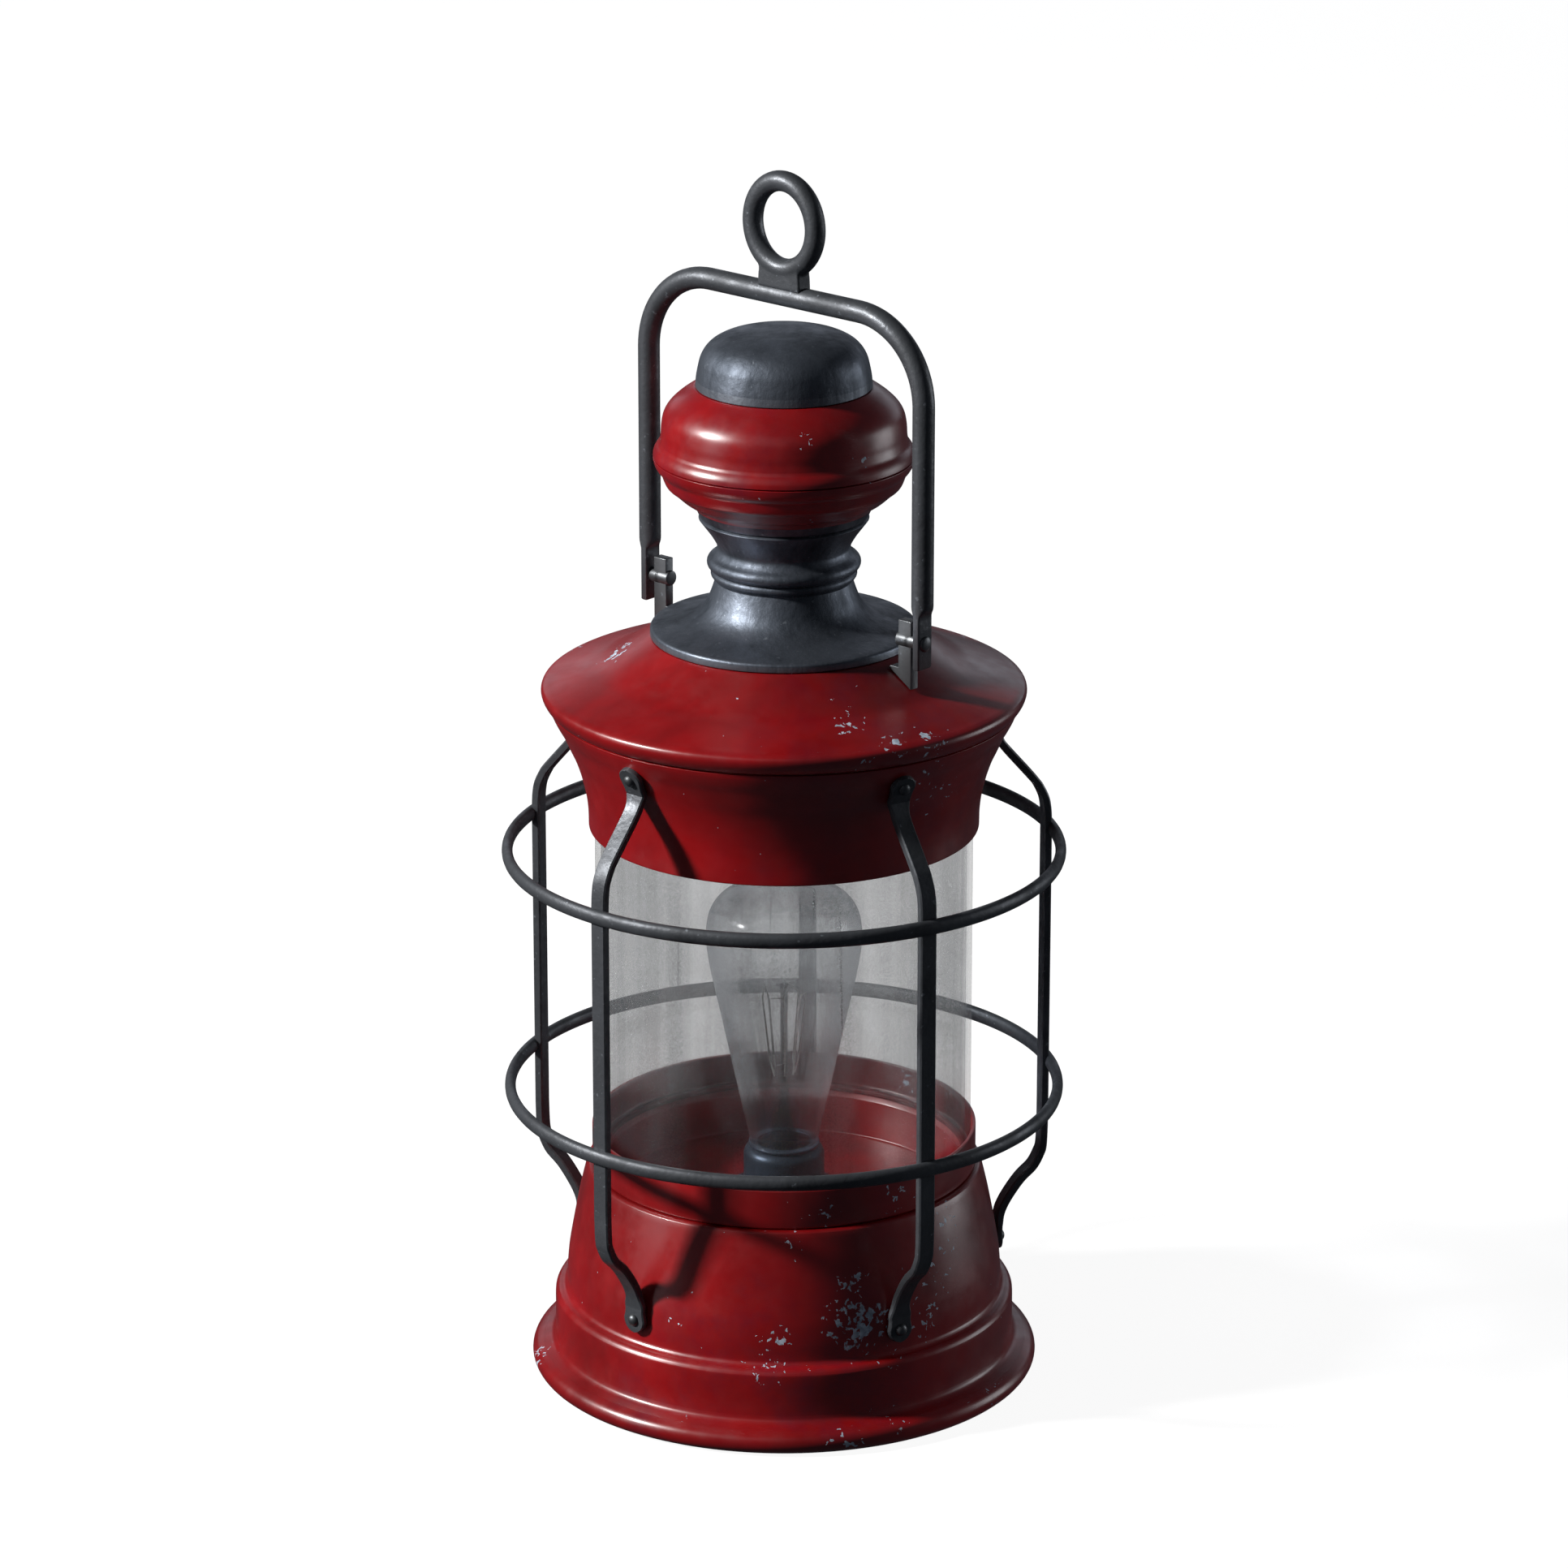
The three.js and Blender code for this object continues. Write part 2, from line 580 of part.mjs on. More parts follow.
// A domed rivet through a paddle and the shell, clenched inside. Its head's seat is at z = 0.
function rivet() {
  const through = PADDLE_T + GAP + SHEET + 3 * GAP;
  return lathe(points([
    [0, -through - 1.2], [RIVET_HEAD_R, -through - 1], [RIVET_HEAD_R, -through], [RIVET_R, -through],
    [RIVET_R, GAP], [RIVET_HEAD_R, GAP], [RIVET_HEAD_R * 0.75, 1.3], [0, 1.8],
  ]), TINY_SIDES);
}

function cage() {
  const made = group(
    piece("cage_ring_lower", cageRing(lowRingZ), FORGED_STEEL),
    piece("cage_ring_upper", cageRing(highRingZ), FORGED_STEEL),
  );
  for (let i = 0; i < CAGE_COUNT; i++) {
    const low = outward(rivet(), bodyR + GAP + PADDLE_T, LOW_RIVET_Z);
    const high = outward(rivet(), hoodFace, highRivetZ, skirtTilt);
    const side = group(
      piece(`cage_bar_${i + 1}`, cageBar(), FORGED_STEEL),
      piece(`cage_rivet_lower_${i + 1}`, low, FORGED_STEEL),
      piece(`cage_rivet_upper_${i + 1}`, high, FORGED_STEEL),
    );
    side.rotation.z = barAngle(i);
    made.add(side);
  }
  return made;
}

// ---------------------------------------------------------------- hood, chimney and vent
function hoodSkirt() {
  const steps = 5;
  const wall = Array.from({ length: steps + 1 }, (_, i) => {
    const z = skirtZ + SKIRT_HEIGHT * (i / steps);
    return point(skirtAt(z), z);
  });
  const outline = [...wall, point(skirtTopR - 7, skirtZ + SKIRT_HEIGHT)];
  return cut(lathe(sheet(outline), SHELL_SIDES), ...rivetHoles(hoodFace, highRivetZ, skirtTilt));
}

function hoodRoof() {
  const outline = [
    point(skirtTopR - 5, roofZ),
    point(skirtTopR + 0.6, roofZ),
    ...smooth([
      [brimR - 1.2, roofZ + 2], [brimR, roofZ + 5.8], [brimR - 3.5, roofZ + BRIM_HEIGHT],
    ], 3),
    ...smooth([
      [brimR - 9, roofZ + BRIM_HEIGHT + 2.4],
      [brimR - ROOF_APRON_IN, roofZ + BRIM_HEIGHT + ROOF_APRON_RISE],
      [kneeR, kneeZ],
    ], 2),
    point(CHIMNEY_R, roofTop),
    point(CHIMNEY_HOLE_R, roofTop),
  ];
  return lathe(sheet(outline), SHELL_SIDES);
}

function chimneyBase() {
  const neckZ = chimneyZ + NECK_RISE;
  const throatZ = neckZ + THROAT_RISE;
  const topZ = chimneyZ + chimneyHeight;
  const flare = [
    point(CHIMNEY_R, chimneyZ),
    point(CHIMNEY_R, chimneyZ + CHIMNEY_RIM),
    ...smooth([
      [CHIMNEY_R - 3, chimneyZ + CHIMNEY_RIM + 0.5], [NECK_R + 12, chimneyZ + CHIMNEY_RIM + 3.4],
      [NECK_R + 4.3, chimneyZ + 11.6], [NECK_R + 1, neckZ - 4], [NECK_R, neckZ],
    ], 6),
  ];
  const outer = [
    ...flare,
    ...arc(NECK_R - 0.2, neckZ + 2.7, 2, -40, 40, 2),
    ...arc(NECK_R + 0.3, neckZ + 6.7, 3, -50, 70, 3),
    point(THROAT_R, throatZ - 2.6),
    point(THROAT_R, throatZ),
    point(FUNNEL_R, topZ),
  ];
  const inner = [
    point(FUNNEL_R - 2, topZ),
    point(THROAT_R - SHEET, throatZ),
    ...offset(flare, SHEET).reverse(),
  ];
  return lathe([...outer, ...inner], STACK_SIDES);
}

function ventLower() {
  const step = VENT_R - FUNNEL_R;
  const bowl = [[0, 0], [0.16, 0.18], [0.59, 0.46], [0.78, 0.7], [1, 1]]
    .map(([across, up]) => [FUNNEL_R + step * across, ventZ + VENT_LOW_HEIGHT * up]);
  const outline = [
    point(FUNNEL_R - 5, ventZ),
    ...smooth(bowl, 6),
    point(VENT_R - 4, ventZ + VENT_LOW_HEIGHT),
  ];
  return lathe(sheet(outline), STACK_SIDES);
}

function ventUpper() {
  const step = VENT_R - VENT_TOP_R;
  const dome = [[1, 0], [0.97, 0.08], [0.83, 0.2], [0.79, 0.42], [0.7, 0.62], [0.42, 0.83], [0, 1]]
    .map(([across, up]) => [VENT_TOP_R + step * across, ventHighZ + VENT_HIGH_HEIGHT * up]);
  const outline = [
    point(VENT_R - 4, ventHighZ),
    ...smooth(dome, 7),
    point(VENT_TOP_R - 6, ventHighZ + VENT_HIGH_HEIGHT),
  ];
  return lathe(sheet(outline), STACK_SIDES);
}

function chimneyCap() {
  const crown = [[1, 0], [0.96, 0.37], [0.93, 0.53], [0.79, 0.8], [0.6, 0.92], [0.3, 0.985], [0.01, 1]]
    .map(([across, up]) => [CAP_R * across, capZ + CAP_HEIGHT * up]);
  const outer = smooth(crown, 6);
  const axisTop = point(0, capTop);
  const inner = [point(CAP_R - SHEET, capZ), ...offset(outer, SHEET).slice(1, -1)];
  return lathe([...outer.slice(0, -1), axisTop, point(0, capTop - SHEET), ...inner.reverse()], STACK_SIDES);
}

// ---------------------------------------------------------------- brackets and bail
// A bar on +X with a foot on the roof's slope, and a boss that the pivot stud passes through.
function bailBracket() {
  const inside = bracketX - BRACKET_WIDTH / 2;
  const toe = bracketOut - BRACKET_WIDTH - BRACKET_TOE + 3;
  const under = (x) => roofAt(x) + GAP + 0.3;
  const side = new THREE.Shape(points([
    [inside, pivotZ + BRACKET_ABOVE_PIN], [bracketOut, pivotZ + BRACKET_ABOVE_PIN],
    [bracketOut, under(bracketOut)], [toe, under(toe)], [toe, under(toe) + 1],
    [inside, under(toe) + 1],
  ].reverse()));
  const bar = plate(side, BRACKET_T).rotateX(Math.PI / 2).translate(0, BRACKET_T / 2, 0);
  const along = (geometry) => geometry.rotateY(Math.PI / 2).translate(0, 0, pivotZ);
  const boss = along(rod(PIN_R, inside - PIN_PROUD, bracketOut, SMALL_SIDES));
  const bore = along(rod(SPIGOT_R + GAP, inside - 5, bracketOut + 5, SMALL_SIDES));
  return cut(join(bar, boss), bore);
}

// The stud's spigot is held in the bracket and its journal carries the bail.
function pivotStud() {
  const spigotEnd = bracketX - BRACKET_WIDTH / 2 - PIN_PROUD;
  const shoulder = bracketOut + GAP;
  const end = bailEndX + BAIL_END_T / 2 + PIN_PROUD;
  return lathe(points([
    [0, spigotEnd], [SPIGOT_R, spigotEnd], [SPIGOT_R, shoulder], [PIN_R, shoulder],
    [PIN_R, end - 0.4], [PIN_R - 0.4, end], [0, end],
  ]), SMALL_SIDES).rotateY(Math.PI / 2).translate(0, 0, pivotZ);
}

function bailEnd(side) {
  const half = BAIL_END_WIDTH / 2;
  const top = BAIL_END_ABOVE + 1;
  const shape = new THREE.Shape(points([
    [-half, -BAIL_END_BELOW], [half, -BAIL_END_BELOW], [half, top], [-half, top],
  ]));
  shape.holes.push(discShape(PIN_R + GAP));
  return plate(shape, BAIL_END_T).rotateX(Math.PI / 2).rotateZ(Math.PI / 2)
    .translate(side * bailEndX - BAIL_END_T / 2, 0, pivotZ);
}

// The centre line of the bail: up one leg, over the crossbar and down the other leg.
function bailRoute() {
  const low = pivotZ + BAIL_END_ABOVE;
  const half = [point(bailEndX, low)];
  half.push(...arc(bailEndX - BAIL_CORNER_R, crossbarZ - BAIL_CORNER_R, BAIL_CORNER_R, 0, 90, 6));
  const right = half.map((p) => new THREE.Vector3(p.x, 0, p.y));
  const left = half.map((p) => new THREE.Vector3(-p.x, 0, p.y));
  return [...left, ...right.reverse()];
}

// A closed round wire through the corners of a route that lies in the plane of the bail.
function mitredWire(route, r, sides) {
  const vertices = [];
  const faces = [];
  route.forEach((here, i) => {
    const before = route[Math.max(i - 1, 0)];
    const after = route[Math.min(i + 1, route.length - 1)];
    const heading = after.clone().sub(before).normalize();
    const across = new THREE.Vector3(heading.z, 0, -heading.x);
    for (let k = 0; k < sides; k++) {
      const angle = (2 * Math.PI * k) / sides;
      vertices.push(here.x + r * Math.cos(angle) * across.x, r * Math.sin(angle),
        here.z + r * Math.cos(angle) * across.z);
    }
  });
  for (let i = 0; i + 1 < route.length; i++) {
    for (let k = 0; k < sides; k++) {
      const a = i * sides + k;
      const b = i * sides + ((k + 1) % sides);
      faces.push(a, b, a + sides, b, b + sides, a + sides);
    }
  }
  const last = (route.length - 1) * sides;
  for (let k = 1; k + 1 < sides; k++) {
    faces.push(0, k + 1, k, last, last + k, last + k + 1);
  }
  const geometry = new THREE.BufferGeometry();
  geometry.setAttribute("position", new THREE.Float32BufferAttribute(vertices, 3));
  geometry.setIndex(faces);
  return geometry;
}

function bail() {
  return join(mitredWire(bailRoute(), BAIL_WIRE_R, 10), bailEnd(-1), bailEnd(1));
}

// A ring on a forged neck that is saddled on the crossbar.
function bailEye() {
  const centre = crossbarZ + EYE_RISE;
  const hoop = new THREE.TorusGeometry(EYE_HALF_HEIGHT, EYE_WIRE_R, 8, 24)
    .rotateX(Math.PI / 2).scale(EYE_HALF_WIDTH / EYE_HALF_HEIGHT, 1, 1).translate(0, 0, centre);
  const half = EYE_NECK_WIDTH / 2;
  const bottom = crossbarZ + 1;
  const shape = new THREE.Shape(points([
    [-half, bottom], [half, bottom], [half - 0.6, centre - EYE_HALF_HEIGHT + 4],
    [5, centre - EYE_HALF_HEIGHT - 1], [-5, centre - EYE_HALF_HEIGHT - 1],
    [-half + 0.6, centre - EYE_HALF_HEIGHT + 4],
  ]));
  const neck = plate(shape, EYE_NECK_T).rotateX(Math.PI / 2).translate(0, EYE_NECK_T / 2, 0);
  const saddle = rod(BAIL_WIRE_R + GAP, -half - 9, half + 9, SMALL_SIDES)
    .rotateY(Math.PI / 2).translate(0, 0, crossbarZ);
  return cut(join(hoop, neck), saddle);
}

// ---------------------------------------------------------------- assembly
function base() {
  const bush = piece("inlet_bush", inletBush(), RUBBER);
  const made = group(
    piece("base_shell", baseShell(), RED_ENAMEL),
    piece("base_plate", basePlate(), ZINC),
    piece("foot_pad", rod(padR, 0, PAD_T, SHELL_SIDES), RUBBER),
    bush,
    piece("terminal_block", terminalBlock(), CERAMIC),
    piece("lead_live", lead(-leadX), RUBBER),
    piece("lead_neutral", lead(leadX), RUBBER),
  );
  for (let i = 0; i < TAB_COUNT; i++) {
    const screw = piece(`base_screw_${i + 1}`, baseScrew(), ZINC);
    screw.position.x = screwAt;
    const corner = group(piece(`base_tab_${i + 1}`, baseTab(), ZINC), screw);
    corner.rotation.z = tabAngle(i);
    made.add(corner);
  }
  return made;
}

function lantern() {
  return group(
    piece("lamp_pan", lampPan(), RED_ENAMEL),
    piece("glass_gasket_lower", gasket(seatZ + SHEET + GAP), RUBBER),
    piece("glass_cylinder",
      ring(GLASS_R - GLASS_WALL, GLASS_R, glassBottom, glassTop, SHELL_SIDES), CLEAR_GLASS),
    piece("glass_gasket_upper", gasket(glassTop + GAP), RUBBER),
    piece("glass_stop", glassStop(), ZINC),
  );
}

function lamp() {
  const nutTop = panZ - GAP;
  return group(
    piece("lampholder_sleeve", holderSleeve(), DARK_STEEL),
    piece("lampholder_flange", holderFlange(), DARK_STEEL),
    piece("lampholder_nut", ring(HOLDER_R + GAP, HOLDER_NUT_R, nutTop - 4, nutTop, SMALL_SIDES), BRASS),
    piece("lampholder_insulator", holderInsulator(), CERAMIC),
    piece("lampholder_shell", threadShell(), BRASS),
    piece("lampholder_contact", holderContact(), BRASS),
    piece("bulb_cap", screwCap(), BRASS),
    piece("bulb_cap_insulator", capInsulator(), CERAMIC),
    piece("bulb_contact", capContact(), ZINC),
    piece("bulb_glass", bulbGlass(), CLEAR_GLASS),
    piece("bulb_stem", bulbStem(), CLEAR_GLASS),
    piece("bulb_filament", filament(), TUNGSTEN),
  );
}

function hood() {
  return group(
    piece("hood_skirt", hoodSkirt(), RED_ENAMEL),
    piece("hood_roof", hoodRoof(), RED_ENAMEL),
    piece("chimney_base", chimneyBase(), DARK_STEEL),
    piece("vent_lower", ventLower(), RED_ENAMEL),
    piece("vent_upper", ventUpper(), RED_ENAMEL),
    piece("chimney_cap", chimneyCap(), DARK_STEEL),
  );
}

function handle() {
  const made = group(
    piece("bail", bail(), FORGED_STEEL),
    piece("bail_eye", bailEye(), FORGED_STEEL),
  );
  for (const [side, turn] of [["right", 0], ["left", Math.PI]]) {
    const end = group(
      piece(`bail_bracket_${side}`, bailBracket(), FORGED_STEEL),
      piece(`pivot_stud_${side}`, pivotStud(), FORGED_STEEL),
    );
    end.rotation.z = turn;
    made.add(end);
  }
  return made;
}

export default group(base(), lantern(), lamp(), cage(), hood(), handle());
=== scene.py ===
# A wire-caged lantern in chipped red enamel and dark steel, with an electric lamp, in a plain pale studio.
import math

import bmesh
import bpy
from mathutils import Matrix, Vector


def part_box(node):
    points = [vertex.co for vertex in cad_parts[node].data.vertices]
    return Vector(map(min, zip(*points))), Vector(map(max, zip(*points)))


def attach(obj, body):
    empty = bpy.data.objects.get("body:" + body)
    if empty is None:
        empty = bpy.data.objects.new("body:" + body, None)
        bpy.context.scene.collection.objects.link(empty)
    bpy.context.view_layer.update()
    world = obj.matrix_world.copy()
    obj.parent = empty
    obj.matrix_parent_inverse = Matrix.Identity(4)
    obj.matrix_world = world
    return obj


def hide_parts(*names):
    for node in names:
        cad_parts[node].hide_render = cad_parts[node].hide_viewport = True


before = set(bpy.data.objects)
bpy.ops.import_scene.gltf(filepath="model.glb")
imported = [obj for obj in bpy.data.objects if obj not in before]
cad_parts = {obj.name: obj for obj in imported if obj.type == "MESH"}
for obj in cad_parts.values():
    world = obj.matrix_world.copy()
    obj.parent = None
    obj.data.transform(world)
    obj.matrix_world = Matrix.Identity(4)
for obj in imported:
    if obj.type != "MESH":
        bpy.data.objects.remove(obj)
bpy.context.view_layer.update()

MM = 0.001
SHEET = 1.5  # wall of the spun shells, mm
LATHE_SIDES = 144
WIRE_SIDES = 20
CAGE_COUNT = 5
SHARP = 38  # edges that turn by more degrees than this are drawn sharp


# ---------------------------------------------------------------- outlines: lists of (radius, height) in mm
def corners(node):
    """Lowest and highest corner of a CAD node, in mm."""
    low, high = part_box(node)
    return low / MM, high / MM


def spline(points, steps=8):
    """A Catmull-Rom curve through the points."""
    made = []
    count = len(points)
    for i in range(count - 1):
        p0, p1 = points[max(i - 1, 0)], points[i]
        p2, p3 = points[i + 1], points[min(i + 2, count - 1)]
        for k in range(steps):
            t = k / steps
            made.append(tuple(
                0.5 * (2 * b + (c - a) * t + (2 * a - 5 * b + 4 * c - d) * t * t
                       + (3 * b - a - 3 * c + d) * t ** 3)
                for a, b, c, d in zip(p0, p1, p2, p3)
            ))
    return made + [tuple(points[-1])]


def arc(centre_r, centre_z, radius, start, end, steps=8):
    """An arc, its angles in degrees from the outward direction."""
    angles = [math.radians(start + (end - start) * i / steps) for i in range(steps + 1)]
    return [(centre_r + radius * math.cos(a), centre_z + radius * math.sin(a)) for a in angles]


def offset(line, thickness):
    """The line moved to its left, without the points that would fall back through it."""
    line = [p for i, p in enumerate(line) if i == 0 or math.dist(p, line[i - 1]) > 0.01]
    moved = []
    for i, here in enumerate(line):
        before, after = line[max(i - 1, 0)], line[min(i + 1, len(line) - 1)]
        run = Vector((after[0] - before[0], after[1] - before[1])).normalized()
        moved.append((here[0] - run.y * thickness, here[1] + run.x * thickness))
    return [
        p for p in moved
        if min(math.dist(p, q) for q in line) > 0.93 * thickness
    ]


def rounded(loop, radius=0.4, steps=3, sharp=25):
    """A closed outline whose sharp corners are rounded."""
    loop = [p for i, p in enumerate(loop) if math.dist(p, loop[i - 1]) > 0.01]
    made = []
    for i, here in enumerate(loop):
        here = Vector(here)
        back = Vector(loop[i - 1]) - here
        on = Vector(loop[(i + 1) % len(loop)]) - here
        if here.x < 1e-6 or 180 - math.degrees(back.angle(on)) < sharp:
            made.append(tuple(here))
            continue
        cut = min(radius, 0.45 * back.length, 0.45 * on.length)
        start, end = here + back.normalized() * cut, here + on.normalized() * cut
        for k in range(steps + 1):
            t = k / steps
            made.append(tuple(start * (1 - t) ** 2 + here * 2 * t * (1 - t) + end * t * t))
    return made


def walled(line, thickness=SHEET):
    """A closed outline of sheet, with the given line as its outer face and rounded edges."""
    return rounded(list(line) + offset(line, thickness)[::-1])


def cut_at(loop, height, side):
    """The part of a closed outline above a height (side 1) or below it (side -1)."""
    made = []
    for i, here in enumerate(loop):
        before = loop[i - 1]
        if (here[1] - height) * (before[1] - height) < 0:
            t = (height - before[1]) / (here[1] - before[1])
            made.append((before[0] + (here[0] - before[0]) * t, height))
        if (here[1] - height) * side >= 0:
            made.append(here)
    return made


def fitted(outline, node):
    """The outline set on the CAD node's own height and radius."""
    low, high = corners(node)
    widest = max(r for r, z in outline)
    bottom, top = min(z for r, z in outline), max(z for r, z in outline)
    across = high.y / widest
    up = (high.z - low.z) / (top - bottom)
    return [(r * across, low.z + (z - bottom) * up) for r, z in outline]


# ---------------------------------------------------------------- meshes, made in mm
def object_of(name, bm):
    """An object in the scene with the given mesh."""
    mesh = bpy.data.meshes.new(name)
    bm.to_mesh(mesh)
    bm.free()
    made = bpy.data.objects.new(name, mesh)
    bpy.context.scene.collection.objects.link(made)
    return made


def finish_mesh(name, bm, sharp=SHARP):
    """An object in metres from a mesh in mm, smooth except across sharp edges."""
    bmesh.ops.remove_doubles(bm, verts=bm.verts, dist=1e-4)
    bmesh.ops.recalc_face_normals(bm, faces=bm.faces)
    bmesh.ops.scale(bm, vec=(MM, MM, MM), verts=bm.verts)
    made = object_of(name, bm)
    made.data.shade_smooth()
    made.data.set_sharp_from_angle(angle=math.radians(sharp))
    return made


def loft(bm, sections, closed=False):
    """Skins a list of equal rings of points. An open loft gets a cap at each end."""
    rings = [[bm.verts.new(p) for p in section] for section in sections]
    count = len(rings[0])
    spans = len(rings) if closed else len(rings) - 1
    for i in range(spans):
        a, b = rings[i], rings[(i + 1) % len(rings)]
        for k in range(count):
            n = (k + 1) % count
            bm.faces.new((a[k], a[n], b[n], b[k]))
    if not closed:
        bm.faces.new(rings[0][::-1])
        bm.faces.new(rings[-1])


def lathe(bm, outline, sides=LATHE_SIDES, place=Matrix.Identity(4)):
    """Turns a closed outline of (radius, height) about Z. Points on the axis become one point each."""
    columns = []
    on_axis = [(i, z) for i, (r, z) in enumerate(outline) if r < 1e-6]
    poles = {i: bm.verts.new(place @ Vector((0, 0, z))) for i, z in on_axis}
    for s in range(sides):
        a = 2 * math.pi * s / sides
        columns.append([
            poles.get(i) or bm.verts.new(place @ Vector((r * math.cos(a), r * math.sin(a), z)))
            for i, (r, z) in enumerate(outline)
        ])
    count = len(outline)
    for s in range(sides):
        here, there = columns[s], columns[(s + 1) % sides]
        for i in range(count):
            n = (i + 1) % count
            corner = [here[i], here[n], there[n], there[i]]
            face = [v for k, v in enumerate(corner) if v not in corner[:k]]
            if len(face) > 2:
                bm.faces.new(face)


def turned(name, outline, sides=LATHE_SIDES, sharp=SHARP):
    """A solid of revolution."""
    bm = bmesh.new()
    lathe(bm, outline, sides)
    return finish_mesh(name, bm, sharp)


def prism(bm, outline, half, place=Matrix.Identity(4)):
    """A flat plate of the outline (x, z), from y = -half to y = half."""
    front = [bm.verts.new(place @ Vector((x, -half, z))) for x, z in outline]
    back = [bm.verts.new(place @ Vector((x, half, z))) for x, z in outline]
    bm.faces.new(front)
    bm.faces.new(back[::-1])
    for i in range(len(outline)):
        n = (i + 1) % len(outline)
        bm.faces.new((front[i], back[i], back[n], front[n]))


def baked(made):
    """The object with its modifiers worked into its mesh."""
    depsgraph = bpy.context.evaluated_depsgraph_get()
    mesh = bpy.data.meshes.new_from_object(made.evaluated_get(depsgraph))
    made.modifiers.clear()
    old, made.data = made.data, mesh
    bpy.data.meshes.remove(old)
    return made


def bevelled(made, width, segments=3):
    """The object with its sharp edges rounded by a width in mm."""
    bevel = made.modifiers.new("edges", "BEVEL")
    bevel.width = width * MM
    bevel.segments = segments
    bevel.limit_method = "ANGLE"
    bevel.angle_limit = math.radians(30)
    baked(made)
    made.data.shade_smooth()
    made.data.set_sharp_from_angle(angle=math.radians(SHARP))
    return made


# ---------------------------------------------------------------- materials
def empty_material(name):
    """A new material with its node tree and its Principled shader."""
    made = bpy.data.materials.new(name)
    made.use_nodes = True
    tree = made.node_tree
    return made, tree, tree.nodes["Principled BSDF"]


def node(tree, kind, **settings):
    """A new node, each setting put on the input of that name or else on the node itself."""
    made = tree.nodes.new(kind)
    for key, value in settings.items():
        if key in made.inputs:
            made.inputs[key].default_value = value
        else:
            setattr(made, key, value)
    return made


def place_of(tree, stretch=(1, 1, 1)):
    """Object coordinates, stretched, so that patterns lie in real size on every piece."""
    where = node(tree, "ShaderNodeTexCoord")
    mapping = node(tree, "ShaderNodeMapping")
    mapping.inputs["Scale"].default_value = stretch
    tree.links.new(where.outputs["Object"], mapping.inputs["Vector"])
    return mapping.outputs["Vector"]


def height_of(tree, vector):
    """The height part of a position."""
    split = node(tree, "ShaderNodeSeparateXYZ")
    tree.links.new(vector, split.inputs[0])
    return split.outputs["Z"]


def grain(tree, vector, scale, detail=4.0, rough=0.55, warp=0.0):
    """Cloudy noise, around 0.5."""
    made = node(tree, "ShaderNodeTexNoise", Scale=scale, Detail=detail, Roughness=rough, Distortion=warp)
    tree.links.new(vector, made.inputs["Vector"])
    return made.outputs["Fac"]


def between(tree, value, low, high, out_low=0.0, out_high=1.0):
    """The value mapped from low..high to out_low..out_high, and held at both ends."""
    made = node(tree, "ShaderNodeMapRange")
    limits = {"From Min": low, "From Max": high, "To Min": out_low, "To Max": out_high}
    for key, number in limits.items():
        made.inputs[key].default_value = number
    tree.links.new(value, made.inputs["Value"])
    return made.outputs["Result"]


def math_of(tree, operation, first, second):
    """Arithmetic on two values, each a number or a socket."""
    made = node(tree, "ShaderNodeMath", operation=operation)
    for socket, value in zip(made.inputs, (first, second)):
        if isinstance(value, (int, float)):
            socket.default_value = value
        else:
            tree.links.new(value, socket)
    return made.outputs["Value"]


def blend_colour(tree, share, first, second):
    """The first colour at share 0 and the second at share 1, each a colour or a socket."""
    made = node(tree, "ShaderNodeMix", data_type="RGBA")
    tree.links.new(share, made.inputs["Factor"])
    for socket, value in ((made.inputs[6], first), (made.inputs[7], second)):
        if isinstance(value, tuple):
            socket.default_value = (*value, 1)
        else:
            tree.links.new(value, socket)
    return made.outputs[2]


def bump_of(tree, shader, height, distance, strength=1.0):
    """Relief on the shader, its depth in metres."""
    made = node(tree, "ShaderNodeBump", Strength=strength, Distance=distance)
    tree.links.new(height, made.inputs["Height"])
    tree.links.new(made.outputs["Normal"], shader.inputs["Normal"])


def cluster(tree, vector, centre, radius):
    """1 at a point on the object, falling to 0 at the radius, both in mm."""
    away = node(tree, "ShaderNodeVectorMath", operation="DISTANCE")
    away.inputs[1].default_value = [c * MM for c in centre]
    tree.links.new(vector, away.inputs[0])
    return between(tree, away.outputs["Value"], 0.25 * radius * MM, radius * MM, 1, 0)


def on_wall(angle, r, z):
    """A point on a round wall, its angle in degrees from +X."""
    return (r * math.cos(math.radians(angle)), r * math.sin(math.radians(angle)), z)


